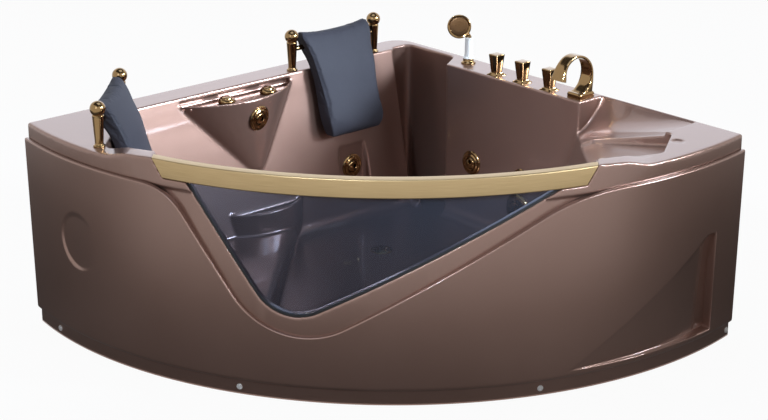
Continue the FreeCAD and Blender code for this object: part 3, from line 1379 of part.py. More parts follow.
def pump_impeller():
    """A disc with six vanes on a hub."""
    z1 = VOLUTE_L - 6.0 - IMPELLER_GAP
    disc = revolved([(SHAFT_R, z1 - 8.0), (IMPELLER_R, z1 - 8.0), (IMPELLER_R, z1), (SHAFT_R, z1)])
    hub = revolved([(SHAFT_R, z1 - 20.0), (14.0, z1 - 20.0), (16.0, z1 - 7.0), (SHAFT_R, z1 - 7.0)])
    vanes = []
    for i in range(6):
        vane = box(12.0, IMPELLER_R - 1.0, 6.0, 9.0, z1 - 24.0, z1 - 7.0)
        vane.rotate(ORIGIN, AXIS_Z, 60 * i)
        vanes.append(vane)
    return on_pump(disc.fuse([hub] + vanes).cut(post(SHAFT_R, 0.0, VOLUTE_L)))


def pump_base():
    y1 = PUMP_Y0 - VOLUTE_L - 10.0
    y0 = PUMP_Y0 - VOLUTE_L - MOTOR_L + 20.0
    plate = box(PUMP_X - 70.0, PUMP_X + 70.0, y0, y1, TUBE_TOP, TUBE_TOP + BASE_T)
    saddle = box(PUMP_X - 36.0, PUMP_X + 36.0, y0 + 20.0, y1 - 20.0, TUBE_TOP + BASE_T,
        PUMP_Z - 0.7 * MOTOR_R)
    drum = Part.makeCylinder(MOTOR_R, MOTOR_L, Vector(PUMP_X, PUMP_Y0 - VOLUTE_L, PUMP_Z), Vector(0, -1, 0))
    return plate.fuse(saddle).cut(drum)


def control_box():
    x, y = UPRIGHTS[1]
    x0 = x + UPRIGHT / 2
    case = box(x0, x0 + 170.0, y - 32.0, y + 26.0, 250.0, 390.0)
    return case.makeFillet(6.0, edges_like(case, lambda m, e: m.x > x0 + 1))


# Frame and feet

def tube_u(u0, u1, v):
    half = TUBE / 2
    bore = half - TUBE_WALL
    z = TUBE_TOP - half
    return box(u0, u1, v - half, v + half, z - half,
        z + half).cut(box(u0, u1, v - bore, v + bore, z - bore, z + bore))


def tube_v(u, v0, v1):
    half = TUBE / 2
    bore = half - TUBE_WALL
    z = TUBE_TOP - half
    return box(u - half, u + half, v0, v1, z - half,
        z + half).cut(box(u - bore, u + bore, v0, v1, z - bore, z + bore))


def frame_rails():
    runs = (
        (499.0 - END_U, END_U - 579.0, RAIL_A_V), (459.0 - END_U, END_U - 189.0, RAIL_B_V),
        (859.0 - END_U, END_U - 759.0, RAIL_C_V), (END_U - 499.0, END_U - 209.0, RAIL_D_V),
    )
    return Part.makeCompound([turned(tube_u(u0, u1, v)) for u0, u1, v in runs])


def frame_cross():
    half = TUBE / 2
    runs = (
        (659.0 - END_U, RAIL_A_V, RAIL_B_V), (END_U - 759.0, RAIL_A_V, RAIL_B_V),
        (939.0 - END_U, RAIL_B_V, RAIL_C_V),
        (END_U - 839.0, RAIL_B_V, RAIL_C_V), (END_U - 459.0, RAIL_D_V, RAIL_B_V),
    )
    return Part.makeCompound([turned(tube_v(u, v0 + half, v1 - half)) for u, v0, v1 in runs])


def upright_places():
    ends = [front_point(s, UPRIGHT_R, 0.0) for s in (SCREW_S[0], SCREW_S[3])]
    return [(p.x, p.y) for p in ends] + list(UPRIGHTS)


def frame_uprights():
    half = UPRIGHT / 2
    bore = half - TUBE_WALL
    low = TUBE_TOP - TUBE
    high = DECK_Z - SHELL_T
    tubes = []
    for x, y in upright_places():
        outer = box(x - half, x + half, y - half, y + half, low, high)
        tubes.append(outer.cut(box(x - bore, x + bore, y - bore, y + bore, low + TUBE_WALL,
            high - TUBE_WALL)))
    return Part.makeCompound(tubes)


def apron_brackets():
    """Four arms that hold the toe of the apron, with a tab for the screw."""
    inner = APRON_R - APRON_TAPER - TOE_INSET - APRON_T
    low = TUBE_TOP - TUBE
    half = BRACKET_W / 2
    rail_face = turned(box(-APRON_R, APRON_R, RAIL_A_V - TUBE / 2, RAIL_A_V + 10 * TUBE, 0.0, APRON_TOP))
    side = UPRIGHT / 2
    arms = []
    for i, s in enumerate(SCREW_S):
        start = APRON_R - 270.0 if i in (1, 2) else UPRIGHT_R
        arm = box(-half, half, start, APRON_R, low + 8.0, low + 8.0 + BRACKET_T)
        tab = box(-half, half, inner - BRACKET_T, APRON_R, SCREW_Z - 12.0, low + 8.0 + BRACKET_T)
        heading = front_heading(s)
        arm = turn_to(arm.fuse(tab), heading)
        arm = arm.common(post(inner, 0.0, APRON_TOP, ARC_C, ARC_C))
        if i in (1, 2):
            arm = arm.cut(rail_face)
        else:
            x, y = upright_places()[0 if i == 0 else 1]
            arm = arm.cut(box(x - side, x + side, y - side, y + side, 0.0, APRON_TOP))
        drill = aimed(post(SCREW_R + SCREW_FIT, -TALL, TALL), front_point(s, inner, SCREW_Z), heading)
        arms.append(arm.cut(drill).Solids[0])
    return Part.makeCompound(arms)


def turn_to(shape, heading):
    """A piece drawn along +Y from the axis of the front arc, turned to a heading."""
    copy = shape.copy()
    copy.Placement = FreeCAD.Placement(Vector(ARC_C, ARC_C, 0), FreeCAD.Rotation(Vector(0, 1, 0), heading))
    return copy


def foot_places():
    rails = (
        (539.0 - END_U, RAIL_A_V), (END_U - 629.0, RAIL_A_V), (499.0 - END_U, RAIL_B_V),
        (END_U - 229.0, RAIL_B_V),
        (919.0 - END_U, RAIL_C_V), (END_U - 799.0, RAIL_C_V), (END_U - 249.0, RAIL_D_V),
    )
    places = [diag(u, v) for u, v in rails]
    return places + [Vector(x, y, 0) for x, y in upright_places()]


def foot_pads():
    pad = [(0.0, 0.0), (FOOT_PAD_R, 0.0), (FOOT_PAD_R, 4.0), (STUD_R + 4.0, FOOT_PAD_H), (0.0, FOOT_PAD_H)]
    return Part.makeCompound([revolved(pad, p) for p in foot_places()])


def foot_studs():
    return Part.makeCompound([post(STUD_R, FOOT_PAD_H, TUBE_TOP - TUBE, p.x, p.y) for p in foot_places()])


def foot_nuts():
    low = TUBE_TOP - TUBE - NUT_H
    nuts = []
    for p in foot_places():
        corners = [Vector(p.x + NUT_R * math.cos(math.pi * i / 3),
            p.y + NUT_R * math.sin(math.pi * i / 3), low) for i in range(6)]
        block = Part.Face(Part.makePolygon(corners + corners[:1])).extrude(Vector(0, 0, NUT_H))
        nuts.append(block.cut(post(STUD_R, low, low + NUT_H, p.x, p.y)))
    return Part.makeCompound(nuts)


def export(name, shape):
    shape.exportStep("parts/" + name + ".step")
    print(name, len(shape.Solids), "solids, valid", shape.isValid(), "litres %.3f" % (shape.Volume / 1e6))


def main():
    os.makedirs("parts", exist_ok=True)
    export("bath_shell", bath_shell())
    export("front_apron", front_apron())
    export("window_glass", window_glass())
    export("window_seal", window_seal())
    export("top_rail", top_rail())
    export("apron_screws", apron_screws())
    export("screw_caps", screw_caps())
    export("apron_brackets", apron_brackets())
    export("pillow_left", pillow("left"))
    export("pillow_back", pillow("back"))
    export("pillow_posts", pillow_posts())
    export("pillow_rods", pillow_rods())
    export("hot_handle", tap_handle(TAP_YS[0]))
    export("diverter_handle", tap_handle(TAP_YS[1]))
    export("cold_handle", tap_handle(TAP_YS[2]))
    export("tap_escutcheons", tap_escutcheons())
    export("tap_valves", tap_valves())
    export("spout", spout())
    export("spout_tail", spout_tail())
    export("shower_holder", shower_holder())
    export("shower_handle", shower_handle())
    export("shower_head", shower_head())
    export("shower_face", shower_face())
    export("air_switch_bezel", knob_bezel(SWITCH_X))
    export("air_switch_button", air_switch_button())
    export("air_regulator_bezel", knob_bezel(REGULATOR_X))
    export("air_regulator_knob", air_regulator_knob())
    export("jet_bezels", jet_bezels())
    export("jet_bodies", jet_bodies())
    export("jet_nuts", jet_nuts())
    for index in range(len(JETS)):
        export("jet_nozzle_%d" % (index + 1), jet_nozzle(index))
    export("pressure_manifold", pressure_manifold())
    export("drain_flange", drain_flange())
    export("drain_plug", drain_plug())
    export("waste_trap", waste_trap())
    export("waste_outlet", waste_outlet())
    export("overflow_plate", overflow_plate())
    export("overflow_knob", overflow_knob())
    export("overflow_pipe", overflow_pipe())
    export("suction_cover", suction_cover())
    export("suction_body", suction_body())
    export("suction_pipe", suction_pipe())
    export("pump_volute", pump_volute())
    export("pump_motor", pump_motor())
    export("pump_shaft", pump_shaft())
    export("pump_impeller", pump_impeller())
    export("pump_base", pump_base())
    export("control_box", control_box())
    export("frame_rails", frame_rails())
    export("frame_cross", frame_cross())
    export("frame_uprights", frame_uprights())
    export("foot_pads", foot_pads())
    export("foot_studs", foot_studs())
    export("foot_nuts", foot_nuts())


main()
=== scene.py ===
import json
import bmesh
import bpy
import numpy as np
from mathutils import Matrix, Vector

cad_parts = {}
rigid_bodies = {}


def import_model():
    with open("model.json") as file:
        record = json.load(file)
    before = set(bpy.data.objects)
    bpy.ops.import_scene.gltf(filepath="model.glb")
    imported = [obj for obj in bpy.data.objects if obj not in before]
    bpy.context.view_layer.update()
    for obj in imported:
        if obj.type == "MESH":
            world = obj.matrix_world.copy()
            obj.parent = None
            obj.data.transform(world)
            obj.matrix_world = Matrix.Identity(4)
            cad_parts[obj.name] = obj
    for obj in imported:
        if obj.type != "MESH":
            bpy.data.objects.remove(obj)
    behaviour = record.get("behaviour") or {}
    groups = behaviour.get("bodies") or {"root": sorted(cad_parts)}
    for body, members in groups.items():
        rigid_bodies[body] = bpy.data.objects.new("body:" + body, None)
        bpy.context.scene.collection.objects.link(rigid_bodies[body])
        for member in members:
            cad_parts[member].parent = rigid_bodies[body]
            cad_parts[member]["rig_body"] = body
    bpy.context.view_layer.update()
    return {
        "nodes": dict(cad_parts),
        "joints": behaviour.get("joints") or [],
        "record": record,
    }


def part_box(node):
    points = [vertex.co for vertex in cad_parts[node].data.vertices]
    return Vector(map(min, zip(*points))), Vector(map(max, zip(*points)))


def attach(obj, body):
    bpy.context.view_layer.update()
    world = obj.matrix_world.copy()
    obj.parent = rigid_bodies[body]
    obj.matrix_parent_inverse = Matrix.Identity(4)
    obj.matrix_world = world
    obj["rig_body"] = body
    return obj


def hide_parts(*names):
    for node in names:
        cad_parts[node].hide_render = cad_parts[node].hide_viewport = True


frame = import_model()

print("frame loaded with", len(frame["nodes"]), "nodes")

# Plan of the bath in metres: the front is an arc about (arcCentre, arcCentre)
arcCentre = 0.520
frontR = 1.280
wallAt = 0.760
arcV = arcCentre * np.sqrt(2)
deckZ = 0.637
hinge = {row["name"]: row for row in frame["joints"]}


def linear(code):
    # sRGB hex code to linear colour
    srgb = np.array([int(code[i:i + 2], 16) for i in (1, 3, 5)]) / 255
    value = np.where(srgb <= 0.04045, srgb / 12.92, ((srgb + 0.055) / 1.055) ** 2.4)
    return (*value.tolist(), 1.0)


def addNode(tree, kind, inputs=None, **settings):
    # a node with its settings, its socket values and its incoming links
    node = tree.nodes.new(kind)
    for key, value in settings.items():
        setattr(node, key, value)
    for key, value in (inputs or {}).items():
        if isinstance(value, bpy.types.NodeSocket):
            tree.links.new(value, node.inputs[key])
        else:
            node.inputs[key].default_value = value
    return node


def makeFinish(name, look):
    # base colour wanders between two tones, roughness and bump follow a grain of a real size
    material = bpy.data.materials.new(name)
    material.use_nodes = True
    tree = material.node_tree
    tree.nodes.clear()
    out = addNode(tree, "ShaderNodeOutputMaterial")
    coords = addNode(tree, "ShaderNodeTexCoord").outputs[look.get("coords", "Object")]
    grain = 1000.0 / look["grainMm"]
    along = look.get("stretch", (1.0, 1.0, 1.0))
    spread = addNode(tree, "ShaderNodeMapping", {"Vector": coords, "Scale": tuple(grain * k for k in along)})
    if look.get("cells"):
        cells = addNode(tree, "ShaderNodeTexVoronoi", {"Vector": spread.outputs[0], "Scale": 1.0})
        fine = cells.outputs["Distance"]
    else:
        noise = addNode(tree, "ShaderNodeTexNoise", {"Vector": spread.outputs[0], "Scale": 1.0, "Detail": 3.0})
        fine = noise.outputs[0]
    cloudScale = 1000.0 / look.get("cloudMm", 90.0)
    cloud = addNode(tree, "ShaderNodeTexNoise", {"Vector": coords, "Scale": cloudScale, "Detail": 2.0})
    both = addNode(tree, "ShaderNodeMix", {
        0: look.get("cloudShare", 0.4), 2: fine, 3: cloud.outputs[0]}, data_type="FLOAT")
    tone = addNode(tree, "ShaderNodeMapRange", {0: both.outputs[0], 1: 0.25, 2: 0.75})
    colour = addNode(tree, "ShaderNodeMix", {
        0: tone.outputs[0], 6: linear(look["base"]), 7: linear(look["second"])}, data_type="RGBA")
    low, high = look["roughness"]
    rough = addNode(tree, "ShaderNodeMapRange", {0: both.outputs[0], 1: 0.2, 2: 0.8, 3: low, 4: high})
    bump = addNode(tree, "ShaderNodeBump", {
        "Height": fine, "Distance": look.get("bumpMm", 0.02) / 1000, "Strength": look.get("bump", 0.5)})
    shader = addNode(tree, "ShaderNodeBsdfPrincipled", {
        "Base Color": colour.outputs[2], "Roughness": rough.outputs[0], "Normal": bump.outputs[0],
        "Metallic": look.get("metallic", 0.0), "IOR": look.get("ior", 1.5),
        "Coat Weight": look.get("coat", 0.0), "Coat Roughness": look.get("coatRoughness", 0.05),
        "Specular IOR Level": look.get("specular", 0.5),
    })
    if "through" in look:
        # clear sheet: tinted light passes, the rest shows as body and gloss
        clear = addNode(tree, "ShaderNodeBsdfTransparent", {"Color": linear(look["through"])})
        shader = addNode(tree, "ShaderNodeMixShader", {
            0: look["body"], 1: clear.outputs[0], 2: shader.outputs[0]})
    tree.links.new(shader.outputs[0], out.inputs[0])
    return material


finishes = {
    # vacuum-formed acrylic sheet, coffee pigment with fine pearl flake under a clear gloss face
    "coffeeAcrylic": dict(
        base="#8b6d61", second="#94766a", grainMm=0.8, cloudMm=220.0, roughness=(0.31, 0.37), metallic=0.74,
        bumpMm=0.004, bump=0.15, coat=0.55, coatRoughness=0.04, ior=1.49, specular=0.4),
    # bent float glass with a grey-blue body tint
    "tintedGlass": dict(
        base="#5f6675", second="#575e6d", grainMm=60.0, cloudMm=400.0, roughness=(0.02, 0.04), body=0.12,
        through="#cbd7e6", bumpMm=0.0, bump=0.0, ior=1.52),
    # extruded seal lip, matt black rubber
    "sealRubber": dict(base="#1d1c1d", second="#262526", grainMm=2.0, roughness=(0.5, 0.62), bumpMm=0.03),
    # aluminium rail brushed along its length and anodised champagne gold
    "brushedGold": dict(
        base="#bfa67e", second="#a89068", grainMm=1.0, stretch=(0.012, 1.0, 1.0), coords="UV", cloudMm=300.0,
        cloudShare=0.15, roughness=(0.3, 0.42), metallic=1.0, bumpMm=0.02, bump=0.3),
    # cast brass, polished and lacquered in antique gold
    "polishedGold": dict(
        base="#987b52", second="#866a45", grainMm=3.0, cloudMm=40.0, roughness=(0.07, 0.12), metallic=1.0,
        bumpMm=0.004, bump=0.2, coat=0.3),
    # moulded polyurethane foam with a satin skin and a fine leather grain
    "pillowSkin": dict(
        base="#3a3a41", second="#43424a", grainMm=1.4, cells=True, roughness=(0.56, 0.66), bumpMm=0.03,
        bump=0.2, cloudMm=60.0, specular=0.12),
    # injection moulded white nylon cap
    "whiteNylon": dict(base="#eceae6", second="#dedbd5", grainMm=1.5, roughness=(0.35, 0.45), bumpMm=0.02),
    # frosted pale handle of the shower, glossy moulded plastic
    "paleGrip": dict(
        base="#f7f6f4", second="#efece6", grainMm=3.0, roughness=(0.12, 0.2), bumpMm=0.01, coat=0.5),
    # plated spray plate, darkened bronze
    "sprayBronze": dict(
        base="#6b5038", second="#80603f", grainMm=2.2, cells=True, roughness=(0.25, 0.4), metallic=0.8,
        bumpMm=0.1),
    # extruded and moulded white pipe vinyl
    "pipeVinyl": dict(base="#d9d8d3", second="#cbc9c2", grainMm=4.0, roughness=(0.3, 0.42), bumpMm=0.02),
    # moulded black plastic with a spark-eroded texture
    "blackPlastic": dict(base="#1b1b1c", second="#252526", grainMm=0.9, roughness=(0.45, 0.6), bumpMm=0.04),
    # cold-rolled steel, zinc plated and passivated
    "zincSteel": dict(
        base="#a9abab", second="#8f9294", grainMm=6.0, cells=True, roughness=(0.32, 0.5), metallic=1.0,
        bumpMm=0.01),
    # motor casting in satin spray paint
    "motorPaint": dict(base="#2d3a44", second="#35434e", grainMm=1.2, roughness=(0.4, 0.5), bumpMm=0.05),
    # foot pad, grey rubber
    "footRubber": dict(base="#2c2b2a", second="#363432", grainMm=1.5, roughness=(0.6, 0.75), bumpMm=0.05),
}
finish = {name: makeFinish(name, look) for name, look in finishes.items()}
slotFinish = dict(
    coffee_acrylic="coffeeAcrylic", tinted_glass="tintedGlass", seal_rubber="sealRubber",
    brushed_gold="brushedGold", polished_gold="polishedGold", pillow_cover="pillowSkin",
    white_cap="whiteNylon", pale_grip="paleGrip", spray_face="sprayBronze", pipe_pvc="pipeVinyl",
    black_plastic="blackPlastic", zinc_steel="zincSteel", motor_paint="motorPaint", foot_rubber="footRubber")
print("finishes made:", len(finish))


def metres(values):
    # millimetres to metres
    return np.asarray(values, float) / 1000


def smooth(value, low, high):
    # 0 below low, 1 above high, an S curve between
    t = np.clip((value - low) / (high - low), 0, 1)
    return t * t * (3 - 2 * t)


def band(value, size, rise, risen, fall, fallen):
    # size from risen to fall, 0 before rise and after fallen, S curves between
    return size * smooth(value, rise, risen) * (1 - smooth(value, fall, fallen))


def gridFaces(rows, cols, closeRows=False, closeCols=False):
    # four-cornered faces of a rows by cols grid, wrapped round where it is closed
    r, c = np.meshgrid(np.arange(rows - (not closeRows)), np.arange(cols - (not closeCols)), indexing="ij")
    r1, c1 = (r + 1) % rows, (c + 1) % cols
    return np.stack([r * cols + c, r * cols + c1, r1 * cols + c1, r1 * cols + c], -1).reshape(-1, 4)


def columnCaps(rows, cols):
    # one closing face for each end of a closed section carried along columns
    first = np.arange(rows) * cols
    return [first.tolist(), (first[::-1] + cols - 1).tolist()]


def rowCaps(rows, cols):
    # one closing face for each end of a ring carried along rows
    first = np.arange(cols)
    return [first[::-1].tolist(), (first + (rows - 1) * cols).tolist()]


def bridge(rows, cols):
    # faces that join the last row of a ring back to its first
    here = np.arange(cols)
    there = (here + 1) % cols
    last = (rows - 1) * cols
    return np.stack([last + here, last + there, there, here], -1)


def frontPoint(angle, radius, height):
    # the front as a turn: angle from the middle, radius from the arc's axis, height above the floor
    u, v = radius * np.sin(angle), arcV - radius * np.cos(angle)
    return np.stack(np.broadcast_arrays((u + v) / np.sqrt(2), (v - u) / np.sqrt(2), height), -1)


def frontEnd(radius):
    # angle at which an arc of this radius meets the wall's line
    return np.pi / 4 + np.arcsin((wallAt - arcCentre) / radius)


def roundedLine(points, radii, steps=12):
    # straight runs with a tangent arc of the given radius at each inner corner
    points = np.asarray(points, float)
    nearlyStraight = 1.56
    line = [points[:1]]
    for here, back, ahead, radius in zip(points[1:-1], points[:-2], points[2:], radii):
        toBack, toAhead = back - here, ahead - here
        toBack, toAhead = toBack / np.linalg.norm(toBack), toAhead / np.linalg.norm(toAhead)
        half = np.arccos(np.clip(toBack @ toAhead, -1, 1)) / 2
        if radius <= 0 or half > nearlyStraight:
            line.append(here[None])
            continue
        middle = (toBack + toAhead) / np.linalg.norm(toBack + toAhead)
        centre = here + middle * radius / np.sin(half)
        turn = np.linspace(-1, 1, steps)[:, None] * (np.pi / 2 - half)
        side = toAhead - middle * (toAhead @ middle)
        side = side / np.linalg.norm(side)
        line.append(centre + radius * (np.sin(turn) * side - np.cos(turn) * middle))
    line.append(points[-1:])
    return np.concatenate(line)


def lathe(profile, steps=64):
    # a (radius, height) profile turned about the upright axis
    profile = np.asarray(profile, float)
    turn = np.linspace(0, 2 * np.pi, steps, endpoint=False)
    r, h = profile[:, :1], profile[:, 1:]
    points = np.stack([r * np.cos(turn), r * np.sin(turn), h + 0 * turn], -1)
    return points, gridFaces(len(profile), steps, closeCols=True)


def squareRows(profile, power, dish=0.0, sides=(1.0, 1.0), steps=72):
    # (half width, height) rows of a square with rounded corners, as a superellipse;
    # dish draws each side's middle in
    turn = np.linspace(0, 2 * np.pi, steps, endpoint=False)
    reach = (np.abs(np.cos(turn)) ** power + np.abs(np.sin(turn)) ** power) ** (-1 / power)
    x, y = reach * np.cos(turn), reach * np.sin(turn)
    drawn = 1 - dish * (1 - np.minimum(np.abs(x), np.abs(y)) ** 2)
    w, h = np.asarray(profile, float).T
    across, along = np.outer(w, x * drawn) * sides[0], np.outer(w, y * drawn) * sides[1]
    return np.stack([across, along, h[:, None] + 0 * turn], -1), gridFaces(len(w), steps, closeCols=True)


def placed(part, origin, axis=(0, 0, 1)):
    # turns the upright axis of a part to a direction and moves it to its place
    points, faces = part
    axis = np.asarray(axis, float) / np.linalg.norm(axis)
    side = np.cross((0.0, 1.0, 0.0) if abs(axis[1]) < 0.9 else (1.0, 0.0, 0.0), axis)
    side = side / np.linalg.norm(side)
    basis = np.stack([side, np.cross(axis, side), axis])
    return points.reshape(-1, 3) @ basis + np.asarray(origin, float), faces


def settle(mesh, sharp):
    # doubles merged, faces turned outwards, smooth but for edges sharper than the angle
    work = bmesh.new()
    work.from_mesh(mesh)
    bmesh.ops.remove_doubles(work, verts=work.verts, dist=2e-6)
    bmesh.ops.dissolve_degenerate(work, edges=work.edges, dist=1e-6)
    bmesh.ops.recalc_face_normals(work, faces=work.faces)
    work.to_mesh(mesh)
    work.free()
    mesh.shade_smooth()
    mesh.set_sharp_from_angle(angle=np.radians(sharp))


dressed = set()


def addPiece(name, mesh, body, nodes, slot):
    # a piece in its finish that rides a body in place of its solids
    piece = bpy.data.objects.new(name, mesh)
    bpy.context.scene.collection.objects.link(piece)
    mesh.materials.clear()
    mesh.materials.append(finish[slotFinish[slot]])
    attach(piece, body)
    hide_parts(*nodes)
    dressed.update(nodes)
    return piece


def newPiece(name, parts, body, nodes, slot, sharp=40, uv=None):
    # parts are (points, faces) pairs that make one mesh together
    points, faces, start = [], [], 0
    for block, quads in parts:
        flat = np.asarray(block, float).reshape(-1, 3)
        points.append(flat)
        loops = quads.tolist() if isinstance(quads, np.ndarray) else quads
        faces += [[corner + start for corner in loop] for loop in loops]
        start += len(flat)
    mesh = bpy.data.meshes.new(name)
    mesh.from_pydata(np.concatenate(points).tolist(), [], faces)
    if uv is not None:
        layer = mesh.uv_layers.new(name="lengths")
        corners = np.empty(len(mesh.loops), np.int64)
        mesh.loops.foreach_get("vertex_index", corners)
        layer.data.foreach_set("uv", uv.reshape(-1, 2)[corners].ravel())
    settle(mesh, sharp)
    return addPiece(name, mesh, body, nodes, slot)


def dress(node, slot, sharp=32):
    # a merged copy of a solid, smooth across its curved faces
    mesh = frame["nodes"][node].data.copy()
    settle(mesh, sharp)
    addPiece(node + "_form", mesh, frame["nodes"][node]["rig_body"], [node], slot)


def remeshed(node, voxelMm):
    # an even mesh of small squares over a solid's form
    mesh = frame["nodes"][node].data.copy()
    settle(mesh, 30)
    raw = bpy.data.objects.new(node + "_raw", mesh)
    bpy.context.scene.collection.objects.link(raw)
    grid = raw.modifiers.new("grid", "REMESH")
    grid.mode = "VOXEL"
    grid.voxel_size = voxelMm / 1000
    dense = bpy.data.meshes.new_from_object(raw.evaluated_get(bpy.context.evaluated_depsgraph_get()))
    bpy.data.objects.remove(raw)
    return dense


# Camera at the photograph's place: 94 mm lens on a 36 mm sensor, 768 by 420 image
cameraPlace = dict(place=(-3.7305, -4.1696, 2.3709), aim=(0.00569, -0.0051, 0.39057), lens=94.0, sensor=36.0)


def aimAt(name, data, place, aim):
    # a camera or a lamp at a place, turned to an aim with its sides level
    thing = bpy.data.objects.new(name, data)
    bpy.context.scene.collection.objects.link(thing)
    thing.location = place
    look = np.array(aim) - np.array(place)
    rise = np.arctan2(look[2], np.hypot(look[0], look[1]))
    thing.rotation_euler = (np.pi / 2 + rise, 0.0, np.arctan2(look[1], look[0]) - np.pi / 2)
    return thing


def makeCamera():
    data = bpy.data.cameras.new("photoCamera")
    data.lens = cameraPlace["lens"]
    data.sensor_width = cameraPlace["sensor"]
    data.sensor_fit = "HORIZONTAL"
    data.clip_end = 60.0
    bpy.context.scene.camera = aimAt("photoCamera", data, cameraPlace["place"], cameraPlace["aim"])


# Studio: a white floor that keeps the shadow, soft lamps and an even white surround
studio = dict(
    floorSize=40.0, floorColour="#f8f8f8", floorGlow=0.95, worldLight=0.25,
    lamps=(
        # name, place, aim, width, height, watts
        ("topBox", (0.1, 0.1, 3.4), (0.1, 0.1, 0.5), 1.8, 1.8, 20.0),
        ("leftBox", (-3.6, -1.4, 2.6), (0.0, -0.2, 0.40), 1.6, 1.8, 20.0),
        ("backBox", (2.5, 2.9, 2.1), (0.0, 0.0, 0.60), 6.4, 2.4, 36.0),
    ),
    # focused lamps that reach over the rail: two on the back wall and the left end, a fill on the tap side
    spots=(
        # name, place, aim, radius, beam, blend, watts
        ("keySpot", (2.87, -3.60, 2.35), (0.02, 0.52, 0.42), 0.85, 20.0, 0.6, 2900.0),
        ("frontSpot", (0.9, -4.4, 2.3), (-0.10, 0.60, 0.36), 0.70, 13.0, 0.7, 1400.0),
        ("fillSpot", (-3.3, -1.6, 3.0), (0.64, -0.12, 0.42), 0.35, 12.0, 0.7, 1500.0),
    ),
    spotColour="#ddeeff", boxColour="#d6e5ff",
    # a flag in front of the right side keeps the key off the apron, and is seen by nothing else
    flag=((0.05, -2.15), (2.05, -0.55), 1.1),
    # a grey card on the floor round the front, seen only in the gloss of the apron, paints its reflection: it
    # starts under the toe, reaches further beside its ends than in the middle and pales outwards, as painted
    # shade low on the apron; past the knee its glow falls to a share at each end as painted shade, and about
    # one turn it gains some as a painted highlight (gain, turn, spread)
    cardTurn=2.0, cardColumns=61, cardUnder=0.07, cardHigh=0.004, cardReach=(1.15, 1.9), cardKnee=(0.75, 1.2),
    cardRows=(0.0, 0.5, 1.0), cardPaintedReflection=(0.08, 0.16, 0.95), cardEndPaintedShade=(0.50, 0.30), cardPaintedHighlight=(0.9, 0.45, 0.30),
    # a dark card overhead, seen only in the gloss of what faces up, as a painted dark reflection
    roofHigh=4.2, roofHalf=3.2, roofPaintedReflection=0.10)


def seenDirectly(tree):
    # 1 for what is seen straight, in gloss or through glass, 0 for what only scatters light
    path = addNode(tree, "ShaderNodeLightPath")
    seen = path.outputs["Is Camera Ray"]
    for kind in ("Is Glossy Ray", "Is Transmission Ray"):
        seen = addNode(tree, "ShaderNodeMath", {0: seen, 1: path.outputs[kind]}, operation="MAXIMUM").outputs[0]
    return seen


def makeWorld():
    # white where it is seen, dimmer where it lights
    scene = bpy.context.scene
    scene.view_settings.view_transform = "Standard"
    world = bpy.data.worlds.new("studioWorld")
    scene.world = world
    world.use_nodes = True
    tree = world.node_tree
    tree.nodes.clear()
    seen = seenDirectly(tree)
    light = addNode(tree, "ShaderNodeBackground", {"Color": (1, 1, 1, 1), "Strength": studio["worldLight"]})
    white = addNode(tree, "ShaderNodeBackground", {"Color": (1, 1, 1, 1), "Strength": 1.0})
    mixed = addNode(tree, "ShaderNodeMixShader", {0: seen, 1: light.outputs[0], 2: white.outputs[0]})
    addNode(tree, "ShaderNodeOutputWorld", {"Surface": mixed.outputs[0]})


def makeFloor():
    # paper that mostly glows where it is seen, and is matt for the light it scatters
    half = studio["floorSize"] / 2
    mesh = bpy.data.meshes.new("studioFloor")
    corners = [(-half, -half, 0), (half, -half, 0), (half, half, 0), (-half, half, 0)]
    mesh.from_pydata(corners, [], [(0, 1, 2, 3)])
    floor = bpy.data.objects.new("studioFloor", mesh)
    bpy.context.scene.collection.objects.link(floor)
    paper = bpy.data.materials.new("paperFloor")
    paper.use_nodes = True
    tree = paper.node_tree
    tree.nodes.clear()
    matt = addNode(tree, "ShaderNodeBsdfDiffuse", {"Color": linear(studio["floorColour"])})
    glow = addNode(tree, "ShaderNodeEmission", {"Color": (1, 1, 1, 1), "Strength": 1.0})
    seen = seenDirectly(tree)
    share = addNode(tree, "ShaderNodeMath", {0: seen, 1: studio["floorGlow"]}, operation="MULTIPLY")
    mixed = addNode(tree, "ShaderNodeMixShader", {0: share.outputs[0], 1: matt.outputs[0], 2: glow.outputs[0]})
    addNode(tree, "ShaderNodeOutputMaterial", {"Surface": mixed.outputs[0]})
    mesh.materials.append(paper)


